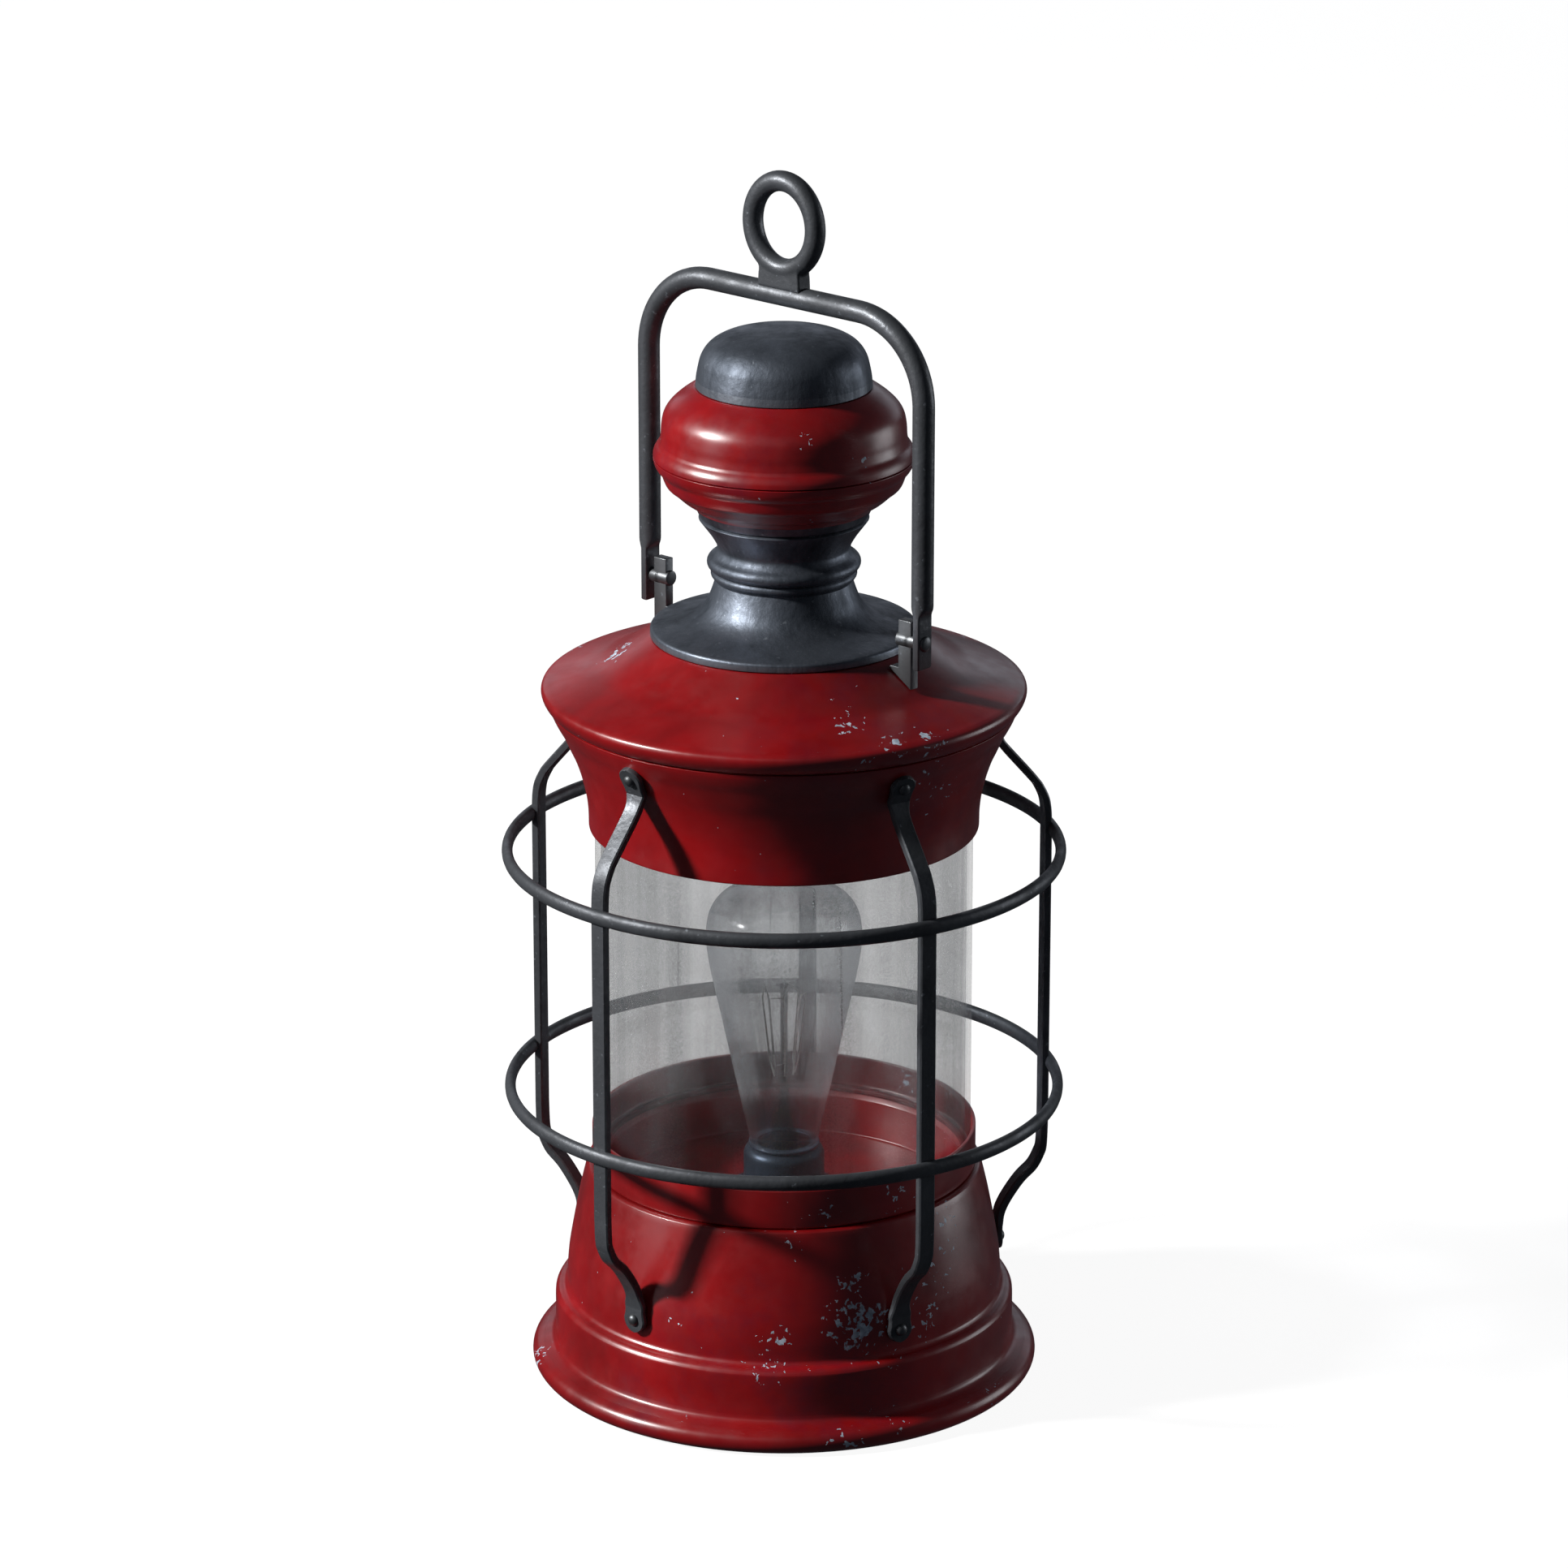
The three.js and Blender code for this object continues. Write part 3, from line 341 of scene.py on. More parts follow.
def enamel(name, clusters):
    """Glossy red enamel: mottled, a little cloudy, and chipped to grey primer. The blue in its purplish
    mottle is a painted cool sheen.

    Each cluster of chips is (place, radius in mm, density)."""
    made, tree, shader = empty_material(name)
    at = place_of(tree)
    cloud = between(tree, grain(tree, at, 14, 5, 0.6, 0.4), 0.35, 0.68)
    mottle = between(tree, grain(tree, at, 70, 6, 0.65), 0.42, 0.72)
    red = blend_colour(tree, cloud, RED_DEEP, RED_BRIGHT)
    # purplish mottle: partly real bruising of the enamel, partly a painted cool sheen in its blue tint
    bruise_and_sheen = math_of(tree, "MULTIPLY", mottle, between(tree, grain(tree, at, 9, 2), 0.46, 0.66))
    red = blend_colour(tree, math_of(tree, "MULTIPLY", bruise_and_sheen, BRUISE_AND_SHEEN_SHARE), red, RED_BRUISE_AND_SHEEN)

    dense = 0.0
    for centre, radius, share in clusters:
        here = math_of(tree, "MULTIPLY", cluster(tree, at, centre, radius), share)
        dense = here if isinstance(dense, float) else math_of(tree, "MAXIMUM", dense, here)
    shards = grain(tree, at, 330, 2.5, 0.6, 0.5)
    limit = between(tree, dense, 0, 1, CHIPS_RARE, CHIPS_DENSE)
    chip = math_of(tree, "GREATER_THAN", shards, limit)
    grey = blend_colour(tree, between(tree, grain(tree, at, 500), 0.4, 0.6), CHIP_DARK, CHIP_PALE)
    colour = blend_colour(tree, chip, red, grey)
    tree.links.new(colour, shader.inputs["Base Color"])

    worn = between(tree, grain(tree, at, 120, 5, 0.6), 0.35, 0.7, 0.28, 0.42)
    rough = math_of(tree, "ADD", worn, math_of(tree, "MULTIPLY", chip, CHIP_ROUGHER))
    tree.links.new(rough, shader.inputs["Roughness"])
    shader.inputs["Metallic"].default_value = 0.0
    shader.inputs["IOR"].default_value = 1.62
    shader.inputs["Coat Weight"].default_value = 0.5
    shader.inputs["Coat Roughness"].default_value = 0.3
    orange_peel = math_of(tree, "MULTIPLY", grain(tree, at, 260, 2), 0.12)
    height = math_of(tree, "SUBTRACT", orange_peel, chip)
    bump_of(tree, shader, height, CHIP_DEPTH, 0.5)
    return made


def steel(name, dark, pale, rough_low, rough_high, stretch=(1, 1, 0.08), metal=0.85, streak=90,
          dent=0.00012, rims=()):
    """Gunmetal: brushed streaks, cloudy patches and fine pitting.

    Each rim is (low, high) in mm, a band of heights in which the steel is rubbed pale."""
    made, tree, shader = empty_material(name)
    drawn = place_of(tree, stretch)
    at = place_of(tree)
    streaks = between(tree, grain(tree, drawn, streak, 6, 0.62), 0.3, 0.7)
    patches = between(tree, grain(tree, at, 32, 5, 0.62, 0.6), 0.36, 0.7)
    brushed = math_of(tree, "MULTIPLY", streaks, 0.55)
    share = math_of(tree, "ADD", brushed, math_of(tree, "MULTIPLY", patches, 0.45))
    colour = blend_colour(tree, share, dark, pale)
    specks = between(tree, grain(tree, at, 420, 2), 0.68, 0.74)
    colour = blend_colour(tree, math_of(tree, "MULTIPLY", specks, 0.5), colour, WORN)
    for low, high in rims:
        level = height_of(tree, at)
        above = between(tree, level, (high - RIM_FADE) * MM, high * MM, 1, 0)
        below = between(tree, level, low * MM, (low + RIM_FADE) * MM)
        rubbed = math_of(tree, "MULTIPLY", math_of(tree, "MULTIPLY", above, below), streaks)
        colour = blend_colour(tree, math_of(tree, "MULTIPLY", rubbed, 0.6), colour, WORN)
    tree.links.new(colour, shader.inputs["Base Color"])
    tree.links.new(between(tree, share, 0.25, 0.75, rough_high, rough_low), shader.inputs["Roughness"])
    shader.inputs["Metallic"].default_value = metal
    height = math_of(tree, "ADD", math_of(tree, "MULTIPLY", streaks, 0.5), grain(tree, at, 380, 4))
    bump_of(tree, shader, height, dent, 0.6)
    return made


def plain_finish(name, dark, pale, rough, metal=0.0, scale=150, dent=0.0001):
    """A quiet surface with a little cloudiness and tooth."""
    made, tree, shader = empty_material(name)
    at = place_of(tree)
    cloud = between(tree, grain(tree, at, scale, 5, 0.6), 0.35, 0.65)
    tree.links.new(blend_colour(tree, cloud, dark, pale), shader.inputs["Base Color"])
    tree.links.new(between(tree, cloud, 0, 1, rough - 0.06, rough + 0.08), shader.inputs["Roughness"])
    shader.inputs["Metallic"].default_value = metal
    bump_of(tree, shader, grain(tree, at, scale * 3, 3), dent, 0.5)
    return made


def lamps_pass(tree, shader, tint):
    """Lets the rays of lamps straight through the glass, so that they light what is inside."""
    path = node(tree, "ShaderNodeLightPath")
    clear = node(tree, "ShaderNodeBsdfTransparent", Color=(*tint, 1))
    mix = node(tree, "ShaderNodeMixShader")
    tree.links.new(path.outputs["Is Shadow Ray"], mix.inputs[0])
    tree.links.new(shader.outputs[0], mix.inputs[1])
    tree.links.new(clear.outputs[0], mix.inputs[2])
    tree.links.new(mix.outputs[0], tree.nodes["Material Output"].inputs["Surface"])


def chimney_glass(name):
    """Old dulled glass: upright smears, fine grain and a few thin scratches. It blurs what is behind it."""
    made, tree, shader = empty_material(name)
    at = place_of(tree)
    upright = place_of(tree, (1, 1, 0.02))
    smears = between(tree, grain(tree, upright, 48, 4, 0.6), 0.4, 0.62)
    clouds = between(tree, grain(tree, at, 26, 4, 0.6), 0.35, 0.7)
    dust = between(tree, grain(tree, at, 1500, 1), 0.35, 0.65)
    scratches = between(tree, grain(tree, upright, 420, 1, 0.4), 0.76, 0.78)
    haze = math_of(tree, "MULTIPLY", smears, 0.45)
    haze = math_of(tree, "ADD", haze, math_of(tree, "MULTIPLY", clouds, 0.2))
    haze = math_of(tree, "ADD", haze, math_of(tree, "MULTIPLY", dust, 0.35))
    dull = between(tree, haze, 0.1, 0.9, GLASS_CLEAR, GLASS_HAZE)
    dull = math_of(tree, "MAXIMUM", dull, math_of(tree, "MULTIPLY", scratches, 0.7))
    tree.links.new(dull, shader.inputs["Alpha"])
    tree.links.new(blend_colour(tree, dust, GLASS_GREY, GLASS_PALE), shader.inputs["Base Color"])
    tree.links.new(between(tree, haze, 0.1, 0.9, 0.18, 0.3), shader.inputs["Roughness"])
    shader.inputs["Transmission Weight"].default_value = 0.98
    shader.inputs["Specular IOR Level"].default_value = 0.3
    shader.inputs["IOR"].default_value = GLASS_IOR
    lamps_pass(tree, shader, (0.84, 0.85, 0.86))
    return made


def lamp_glass(name, face, edge):
    """Thin, faintly smoky glass: little seen face on, and denser where it turns away."""
    made, tree, shader = empty_material(name)
    at = place_of(tree)
    turning = node(tree, "ShaderNodeLayerWeight", Blend=0.35)
    dust = between(tree, grain(tree, at, 300, 4), 0.4, 0.7, 0, 0.06)
    smoke = between(tree, turning.outputs["Facing"], 0.1, 0.95, face, edge)
    tree.links.new(math_of(tree, "ADD", smoke, dust), shader.inputs["Alpha"])
    cloud = between(tree, grain(tree, at, 40, 3), 0.35, 0.65)
    tree.links.new(blend_colour(tree, cloud, SMOKE_GREY, SMOKE_PALE), shader.inputs["Base Color"])
    tree.links.new(between(tree, cloud, 0, 1, 0.10, 0.18), shader.inputs["Roughness"])
    shader.inputs["Transmission Weight"].default_value = 0.96
    shader.inputs["IOR"].default_value = GLASS_IOR
    lamps_pass(tree, shader, (0.94, 0.94, 0.95))
    return made


RED_DEEP = (0.17, 0.002, 0.003)
RED_BRIGHT = (0.35, 0.003, 0.005)
# purplish mottle colour; its blue tint is a painted cool sheen
RED_BRUISE_AND_SHEEN = (0.085, 0.008, 0.028)
CHIP_PALE = (0.62, 0.71, 0.83)
CHIP_DARK = (0.34, 0.41, 0.50)
# how much of the purplish mottle shows, with its painted sheen
BRUISE_AND_SHEEN_SHARE = 0.5
CHIPS_RARE = 0.76  # noise above this is a chip outside the clusters
CHIPS_DENSE = 0.50  # and above this in the middle of a cluster of density 1
CHIP_ROUGHER = 0.18
CHIP_DEPTH = 0.00025
WORN = (0.28, 0.31, 0.35)
RIM_FADE = 0.4  # mm
GLASS_GREY = (0.045, 0.048, 0.05)
GLASS_PALE = (0.14, 0.147, 0.155)
GLASS_CLEAR = 0.21
GLASS_HAZE = 0.43
GLASS_IOR = 1.45
SMOKE_GREY = (0.50, 0.53, 0.57)
SMOKE_PALE = (0.64, 0.67, 0.71)

# clusters of chips: place, radius in mm, density
BASE_CHIPS = [
    (on_wall(-29, 88, 50), 21, 1.0),
    (on_wall(-30, 86, 66), 11, 0.76),
    (on_wall(-50, 89, 46), 9, 0.72),
    (on_wall(-53, 92, 37), 15, 0.74),
    (on_wall(-44, 90, 36), 8, 0.6),
    (on_wall(-78, 89, 50), 7, 0.55),
    (on_wall(-8, 88, 46), 13, 0.66),
    (on_wall(-6, 84, 62), 20, 0.6),
    (on_wall(4, 82, 78), 18, 0.52),
    (on_wall(-20, 92, 34), 9, 0.62),
    (on_wall(-35, 103, 5), 12, 0.66),
    (on_wall(-22, 98, 10), 10, 0.6),
    (on_wall(-128, 102, 7), 14, 0.68),
    (on_wall(8, 103, 7), 12, 0.6),
    (on_wall(60, 90, 45), 16, 0.7),
    (on_wall(150, 96, 14), 16, 0.66),
    (on_wall(100, 85, 66), 12, 0.6),
    (on_wall(-46, 81, 84), 12, 0.5),
]
HOOD_CHIPS = [
    (on_wall(-22, 92, 292), 12, 0.78),
    (on_wall(-30, 76, 298), 16, 0.6),
    (on_wall(-12, 94, 291), 12, 0.66),
    (on_wall(-30, 96, 288), 7, 0.8),
    (on_wall(-10, 92, 276), 12, 0.56),
    (on_wall(-4, 86, 262), 16, 0.5),
    (on_wall(-56, 84, 295), 8, 0.5),
    (on_wall(148, 70, 300), 18, 0.8),
    (on_wall(-141, 65, 303), 13, 0.85),
    (on_wall(75, 92, 291), 13, 0.66),
    (on_wall(-165, 95, 289), 12, 0.62),
]
VENT_CHIPS = [
    (on_wall(-38, 46, 404), 6, 0.6),
    (on_wall(-10, 48, 394), 7, 0.58),
    (on_wall(-32, 40, 368), 7, 0.6),
    (on_wall(120, 49, 392), 9, 0.66),
]
PAN_CHIPS = [
    (on_wall(-38, 78, 95), 14, 0.56),
    (on_wall(-12, 78, 96), 12, 0.6),
    (on_wall(90, 78, 98), 12, 0.6),
]

FINISH = {
    "base_enamel": enamel("base_enamel", BASE_CHIPS),
    "hood_enamel": enamel("hood_enamel", HOOD_CHIPS),
    "vent_enamel": enamel("vent_enamel", VENT_CHIPS),
    "pan_enamel": enamel("pan_enamel", PAN_CHIPS),
    "dark_steel": steel("dark_steel", (0.034, 0.042, 0.054), (0.22, 0.25, 0.30), 0.42, 0.58,
                        dent=0.0003, rims=((311, 314.2), (413, 417.2))),
    "forged_steel": steel("forged_steel", (0.04, 0.044, 0.05), (0.13, 0.14, 0.155), 0.36, 0.56,
                          stretch=(1, 1, 1), metal=0.5, streak=60, dent=0.0003),
    "bracket_steel": steel("bracket_steel", (0.07, 0.075, 0.08), (0.17, 0.18, 0.19), 0.36, 0.5,
                           stretch=(1, 1, 0.3), streak=120, dent=0.0001),
    "holder_steel": steel("holder_steel", (0.05, 0.07, 0.10), (0.11, 0.14, 0.19), 0.28, 0.4,
                          stretch=(1, 1, 0.3), metal=0.6, streak=60, dent=0.00008),
    "zinc_steel": steel("zinc_steel", (0.33, 0.34, 0.34), (0.55, 0.56, 0.55), 0.34, 0.5,
                        stretch=(1, 1, 1), metal=0.9, streak=70),
    "brass": plain_finish("brass", (0.45, 0.30, 0.10), (0.68, 0.48, 0.18), 0.3, metal=0.95),
    "rubber": plain_finish("rubber", (0.012, 0.012, 0.013), (0.03, 0.03, 0.032), 0.75, scale=260),
    "red_rubber": plain_finish("red_rubber", (0.07, 0.006, 0.007), (0.13, 0.012, 0.014), 0.7, scale=260),
    "ceramic": plain_finish("ceramic", (0.72, 0.68, 0.58), (0.82, 0.79, 0.70), 0.3, scale=60, dent=0.00005),
    "tungsten": plain_finish("tungsten", (0.34, 0.32, 0.30), (0.52, 0.49, 0.45), 0.4, metal=0.6, scale=900),
    "wire_cover": plain_finish("wire_cover", (0.10, 0.05, 0.03), (0.16, 0.09, 0.05), 0.5, scale=300),
    "chimney_glass": chimney_glass("chimney_glass"),
    "lamp_glass": lamp_glass("lamp_glass", face=0.17, edge=0.9),
    "stem_glass": lamp_glass("stem_glass", face=0.03, edge=0.2),
}


def dress(made, finish, body, *nodes):
    """Gives a piece its material, its place in the frame and the CAD nodes that it stands for."""
    made.data.materials.clear()
    made.data.materials.append(FINISH[finish])
    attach(made, body)
    if nodes:
        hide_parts(*nodes)
    return made


def shell(of, finish, line, thickness=SHEET, sides=LATHE_SIDES):
    """A spun sheet shell that stands for one CAD node."""
    return dress(turned(of + "_spun", fitted(walled(line, thickness), of), sides), finish, "lantern", of)


def ring_piece(of, finish, outline, sides=LATHE_SIDES):
    """A solid of revolution that stands for one CAD node."""
    return dress(turned(of + "_turned", fitted(outline, of), sides), finish, "lantern", of)


# ---------------------------------------------------------------- base, pan and glass
shell("base_shell", "base_enamel", [
    (95.8, 0.5), *arc(98.9, 5, 4.5, -90, 70, 14),
    *spline([(99.2, 9.9), (97.4, 10.4), (95.6, 11.1), (94.3, 12.3), (93.8, 14)], 5),
    *spline([(93.8, 20), (93.8, 29.6), (93.4, 31.7), (92.2, 33), (90.6, 33.5)], 5),
    *spline([(89.7, 34), (89, 35), (88.8, 36.5), (88.7, 42), (88.2, 48), (87.5, 53), (85.7, 63),
             (83.3, 75), (80.8, 85.4)], 6),
    *spline([(80.3, 86.8), (79.6, 87.4), (78.8, 87.5)], 3), (73.9, 87.5),
])

shell("lamp_pan", "pan_enamel", [
    (16.9, 69.5), (68, 69.5), *arc(71, 72, 2.5, -90, 0, 6), (73.5, 80), (73.5, 87.2),
    (74, 87.8), (77.3, 87.8), *arc(77.3, 88.6, 0.8, -90, 0, 4), (78.1, 92), (78.1, 104),
])

GLASS_WALL = 2.4
GASKET_WALL = 3.7


def band(of, wall=None):
    """The square outline of a round CAD node, as a ring of the given wall or solid to the axis."""
    low, high = corners(of)
    inner = high.y - wall if wall else 0
    return [(inner, low.z), (high.y, low.z), (high.y, high.z), (inner, high.z)]


glass = turned("glass_cylinder_drawn", rounded(band("glass_cylinder", GLASS_WALL), 0.8))
dress(glass, "chimney_glass", "lantern", "glass_cylinder")
for gasket in ("glass_gasket_lower", "glass_gasket_upper"):
    ring_piece(gasket, "red_rubber", rounded(band(gasket, GASKET_WALL), 0.5))
ring_piece("foot_pad", "rubber", rounded(band("foot_pad"), 0.6))

# ---------------------------------------------------------------- hood
shell("hood_skirt", "hood_enamel", spline([
    (78.3, 232.5), (78.5, 240), (79.4, 247), (81.3, 255), (83.6, 262), (86.2, 267.8),
    (88.8, 273.6), (91, 277.5), (92.7, 281), (93.4, 283.2),
], 6))

shell("hood_roof", "hood_enamel", [
    (88.4, 283.5), (93.2, 283.5),
    *spline([(94.2, 283.9), (95.3, 285.1), (96.5, 287.1), (97, 289.2), (96.4, 290.9), (94.6, 292),
             (92, 292.9), (88, 294.3), (80, 296.9), (74.4, 298.7), (71, 300.3), (67.7, 302.3),
             (63, 305.3), (56.8, 309.2), (53.3, 311.45)], 5),
    (36, 311.45),
])

shell("chimney_base", "dark_steel", [
    (53.3, 311.75), *arc(51.9, 314.1, 1.4, 0, 75, 5),
    *spline([(50, 316), (46, 316.8), (42, 317.7), (37.5, 319.2), (33.6, 321.8), (31, 325),
             (29.4, 328.6), (28.2, 332), (27.3, 335)], 6),
    *arc(27.2, 337.7, 1.9, -60, 62, 7), *arc(27.7, 342.3, 2.9, -58, 75, 9),
    *spline([(27.6, 346), (26.8, 347.4), (26.5, 349), (27.2, 351), (29.2, 354.4), (31.8, 358),
             (33.9, 360.85)], 5),
])

VENT_SHEET = 1.4
COLLAR_TOP = 364.8  # bare steel below, enamel above
lower_vent = [
    (30, 361.2), (33.4, 361.2),
    *spline([(34.1, 362.6), (35.3, 364.9), (37.4, 366.9), (40.6, 369), (44.4, 372.4)], 5),
    *spline([(45.2, 373.1), (46.6, 374.2), (47.6, 376.2), (48.5, 378.9)], 4),
    *spline([(49, 379.6), (50.2, 380.9), (51.2, 382.8), (51.7, 385.15)], 4),
]
wall = fitted(walled(lower_vent, VENT_SHEET), "vent_lower")
dress(turned("vent_lower_spun", cut_at(wall, COLLAR_TOP, 1)), "vent_enamel", "lantern", "vent_lower")
dress(turned("vent_lower_collar", cut_at(wall, COLLAR_TOP, -1)), "dark_steel", "lantern")

shell("vent_upper", "vent_enamel", [
    *spline([(51.7, 385.45), (51.5, 387.2), (50.7, 388.9), (49.6, 390.3)], 4),
    *spline([(49, 391.4), (48.6, 394), (48.4, 397.6), (47.6, 402), (45.7, 405.4), (42.6, 408.5),
             (39, 411.2), (35.4, 413.45)], 5),
    (30.5, 413.45),
], VENT_SHEET)

crown = spline([
    (34.9, 413.75), (34.6, 417.5), (33.8, 421.8), (32.8, 425.4), (30.8, 428.8), (27.6, 431.6),
    (22.3, 433.9), (14, 435.4), (6, 435.9), (0, 435.95),
], 6)
inside = [(r, z) for r, z in offset(crown, SHEET) if r > 0.8]
inside[0] = (33.4, 413.75)
ring_piece("chimney_cap", "dark_steel", rounded(crown + [(0, 435.95 - SHEET)] + inside[::-1]))

# ---------------------------------------------------------------- lampholder and lamp
low, high = corners("lampholder_sleeve")
LIP_R = 4.4
sleeve = [(high.y, low.z), (high.y, high.z - 5)]
sleeve += arc(high.y - LIP_R, high.z - LIP_R, LIP_R, 5, 84, 8)
sleeve += [(high.y - 5.6, high.z - 0.05), (14.6, high.z)]
shell("lampholder_sleeve", "holder_steel", sleeve, 1.2, 64)

low, high = corners("lampholder_flange")
ring_piece("lampholder_flange", "holder_steel", rounded([
    (16.8, low.z), (high.y, low.z), (high.y - 0.8, low.z + 1.3), (19, low.z + 2), (16.8, high.z),
], 0.5), 64)

NECK_R = 14.0
ENVELOPE_WALL = 0.9
# shares of the way out from the neck to the full radius, and of the envelope's height
FLANK = [(0.005, 0.06), (0.11, 0.135), (0.31, 0.27), (0.61, 0.485), (0.87, 0.665), (0.985, 0.77)]
# shares of the full radius and of the height
DOME = [(1, 0.825), (0.965, 0.885), (0.87, 0.932), (0.7, 0.968), (0.42, 0.992), (0.15, 0.9995), (0, 1)]
low, high = corners("bulb_glass")
tall = high.z - low.z
flank = [(NECK_R + (high.y - NECK_R) * across, low.z + tall * up) for across, up in FLANK]
dome = [(high.y * across, low.z + tall * up) for across, up in DOME]
envelope = [(NECK_R, low.z), (NECK_R, low.z + 0.05 * tall)] + spline(flank + dome, 7)
hollow = [(r, z) for r, z in offset(envelope, ENVELOPE_WALL) if r > 0.5]
hollow[0] = (NECK_R - ENVELOPE_WALL, low.z)
blown = fitted(envelope + [(0, high.z - ENVELOPE_WALL)] + hollow[::-1], "bulb_glass")
dress(turned("bulb_glass_blown", blown, 96, 60), "lamp_glass", "lantern", "bulb_glass")

low, high = corners("bulb_stem")
ring_piece("bulb_stem", "stem_glass", [(0, low.z)] + spline([
    (12.6, low.z), (12.4, low.z + 1.4), (8, low.z + 4.5), (4.4, low.z + 10), (2.4, low.z + 18),
    (1.6, low.z + 28), (1.5, high.z - 4), (1.9, high.z - 1.6), (1.2, high.z - 0.3),
], 5) + [(0, high.z)], 32)

# ---------------------------------------------------------------- cage rings
RING_DEPTH = 4.4
for ring in ("cage_ring_lower", "cage_ring_upper"):
    low, high = corners(ring)
    middle, half = (low.z + high.z) / 2, (high.z - low.z) / 2
    section = [
        (high.x - RING_DEPTH / 2 + RING_DEPTH / 2 * math.cos(2 * math.pi * k / WIRE_SIDES),
         middle + half * math.sin(2 * math.pi * k / WIRE_SIDES))
        for k in range(WIRE_SIDES)
    ]
    dress(turned(ring + "_rolled", section, 192, 60), "forged_steel", "lantern", ring)

# ---------------------------------------------------------------- cage bars and rivets
BAR_WIDTH = 7.2
BAR_T = 3.4
PADDLE_R = 5.4
PADDLE_T = 2.6
EDGE = 0.55  # broken edges of the bars
STRAIGHT = 2.4  # flat run of a bar beyond its rivet
RIVET_RISE = 1.8
RIVET_DROP = 10.6  # upper rivets, below the top of the skirt
SEAT_DROP = 16.2  # seat of the glass, below the pan's edge
FLARE = 15.1  # how far the skirt spreads
FLARE_POWER = 1.8
CLEARANCE = 0.3
SWELL = 1.3  # how much wider each half of a bar is where its round end begins
SWELL_AT = 5.6
SWELL_LONG = 3.2


def turned_to(i):
    """Bar 1 stands on -Y. The others follow it round."""
    return Matrix.Rotation(-math.pi / 2 + 2 * math.pi * i / CAGE_COUNT, 4, "Z")


rivet_low, rivet_high = corners("cage_rivet_lower_1")
low_rivet_z = (rivet_low.z + rivet_high.z) / 2
low_face = -rivet_low.y - RIVET_RISE
skirt_low, skirt_high = corners("hood_skirt")
high_rivet_z = skirt_high.z - RIVET_DROP
skirt_tall = skirt_high.z - skirt_low.z
share = (high_rivet_z - skirt_low.z) / skirt_tall
tilt = math.atan(FLARE_POWER * FLARE / skirt_tall * share ** (FLARE_POWER - 1))
skirt_r = -skirt_low.y - FLARE * (1 - share ** FLARE_POWER)
high_face = skirt_r + (CLEARANCE + PADDLE_T) / math.cos(tilt)
bar_face = corners("cage_ring_lower")[1].x - RING_DEPTH + 1.6
seat_z = corners("lamp_pan")[1].z - SEAT_DROP
shoulder_z = 52.0


def up_paddle(d):
    """The outer face of a bar's upper end, at a distance up from its rivet."""
    return (high_face + d * math.sin(tilt), high_rivet_z + d * math.cos(tilt))


def bar_section(place, out, half, thickness):
    """Eight corners of the strip's section, at a point of its outer face with its outward direction."""
    edge = min(EDGE, 0.6 * half)
    near = [(-half, -edge), (-half + edge, 0), (half - edge, 0), (half, -edge)]
    across = near + [(side, -thickness - deep) for side, deep in near[::-1]]
    return [
        Vector((place[0] + out[0] * deep, side, place[1] + out[1] * deep))
        for side, deep in across
    ]


def cage_bar(i):
    """A flat bar with a round end under each rivet, bent to run straight between the rings."""
    heel = up_paddle(-PADDLE_R - STRAIGHT)
    toe = low_rivet_z - PADDLE_R
    line = [(low_face, toe + PADDLE_R * (1 - math.cos(math.pi / 2 * k / 10))) for k in range(10)]
    line += [(low_face, low_rivet_z), (low_face, low_rivet_z + STRAIGHT)]
    line += spline([
        (low_face, low_rivet_z + 4.4), (low_face + 0.1, shoulder_z - 1), (low_face + 1.3, shoulder_z + 4),
        (low_face + 4, shoulder_z + 9.5), (bar_face - 10, seat_z - 19), (bar_face - 4.6, seat_z - 13.6),
        (bar_face - 1.6, seat_z - 8), (bar_face - 0.4, seat_z - 3.5), (bar_face, seat_z + 8),
    ], 6)
    line += spline([
        (bar_face, skirt_low.z - 8), (bar_face - 0.3, skirt_low.z - 2), (bar_face - 1.2, skirt_low.z + 3),
        (bar_face - 3.4, skirt_low.z + 7.9), (bar_face - 6.2, skirt_low.z + 12),
        (heel[0] + 4.6, heel[1] - 7.4), (heel[0] + 1.6, heel[1] - 3), up_paddle(-PADDLE_R - 1.6),
    ], 6)
    line += [up_paddle(-PADDLE_R + 1), up_paddle(-2), up_paddle(0)]
    line += [up_paddle(PADDLE_R * math.sin(math.pi / 2 * k / 10)) for k in range(1, 11)]
    low_pin, high_pin = Vector((low_face, low_rivet_z)), Vector(up_paddle(0))
    line = [Vector(p) for k, p in enumerate(line) if k == 0 or math.dist(p, line[k - 1]) > 1e-3]

    sections = []
    for k, place in enumerate(line):
        run = (line[min(k + 1, len(line) - 1)] - line[max(k - 1, 0)]).normalized()
        out = (run.y, -run.x)
        gap = min((place - low_pin).length, (place - high_pin).length)
        beyond = place.y < low_pin.y or place.y > high_pin.y
        round_half = math.sqrt(max(PADDLE_R ** 2 - gap ** 2, 0.36))
        neck = BAR_WIDTH / 2 + SWELL * math.exp(-(((gap - SWELL_AT) / SWELL_LONG) ** 2)) * (gap > 2)
        half = round_half if beyond else max(round_half, neck) if gap < PADDLE_R else neck
        full = min(max((gap - PADDLE_R) / 6, 0), 1)
        sections.append(bar_section(place, out, half, PADDLE_T + (BAR_T - PADDLE_T) * full))
    bm = bmesh.new()
    loft(bm, sections)
    bmesh.ops.transform(bm, matrix=turned_to(i), verts=bm.verts)
    of = f"cage_bar_{i + 1}"
    dress(finish_mesh(of + "_forged", bm, 32), "forged_steel", "lantern", of)


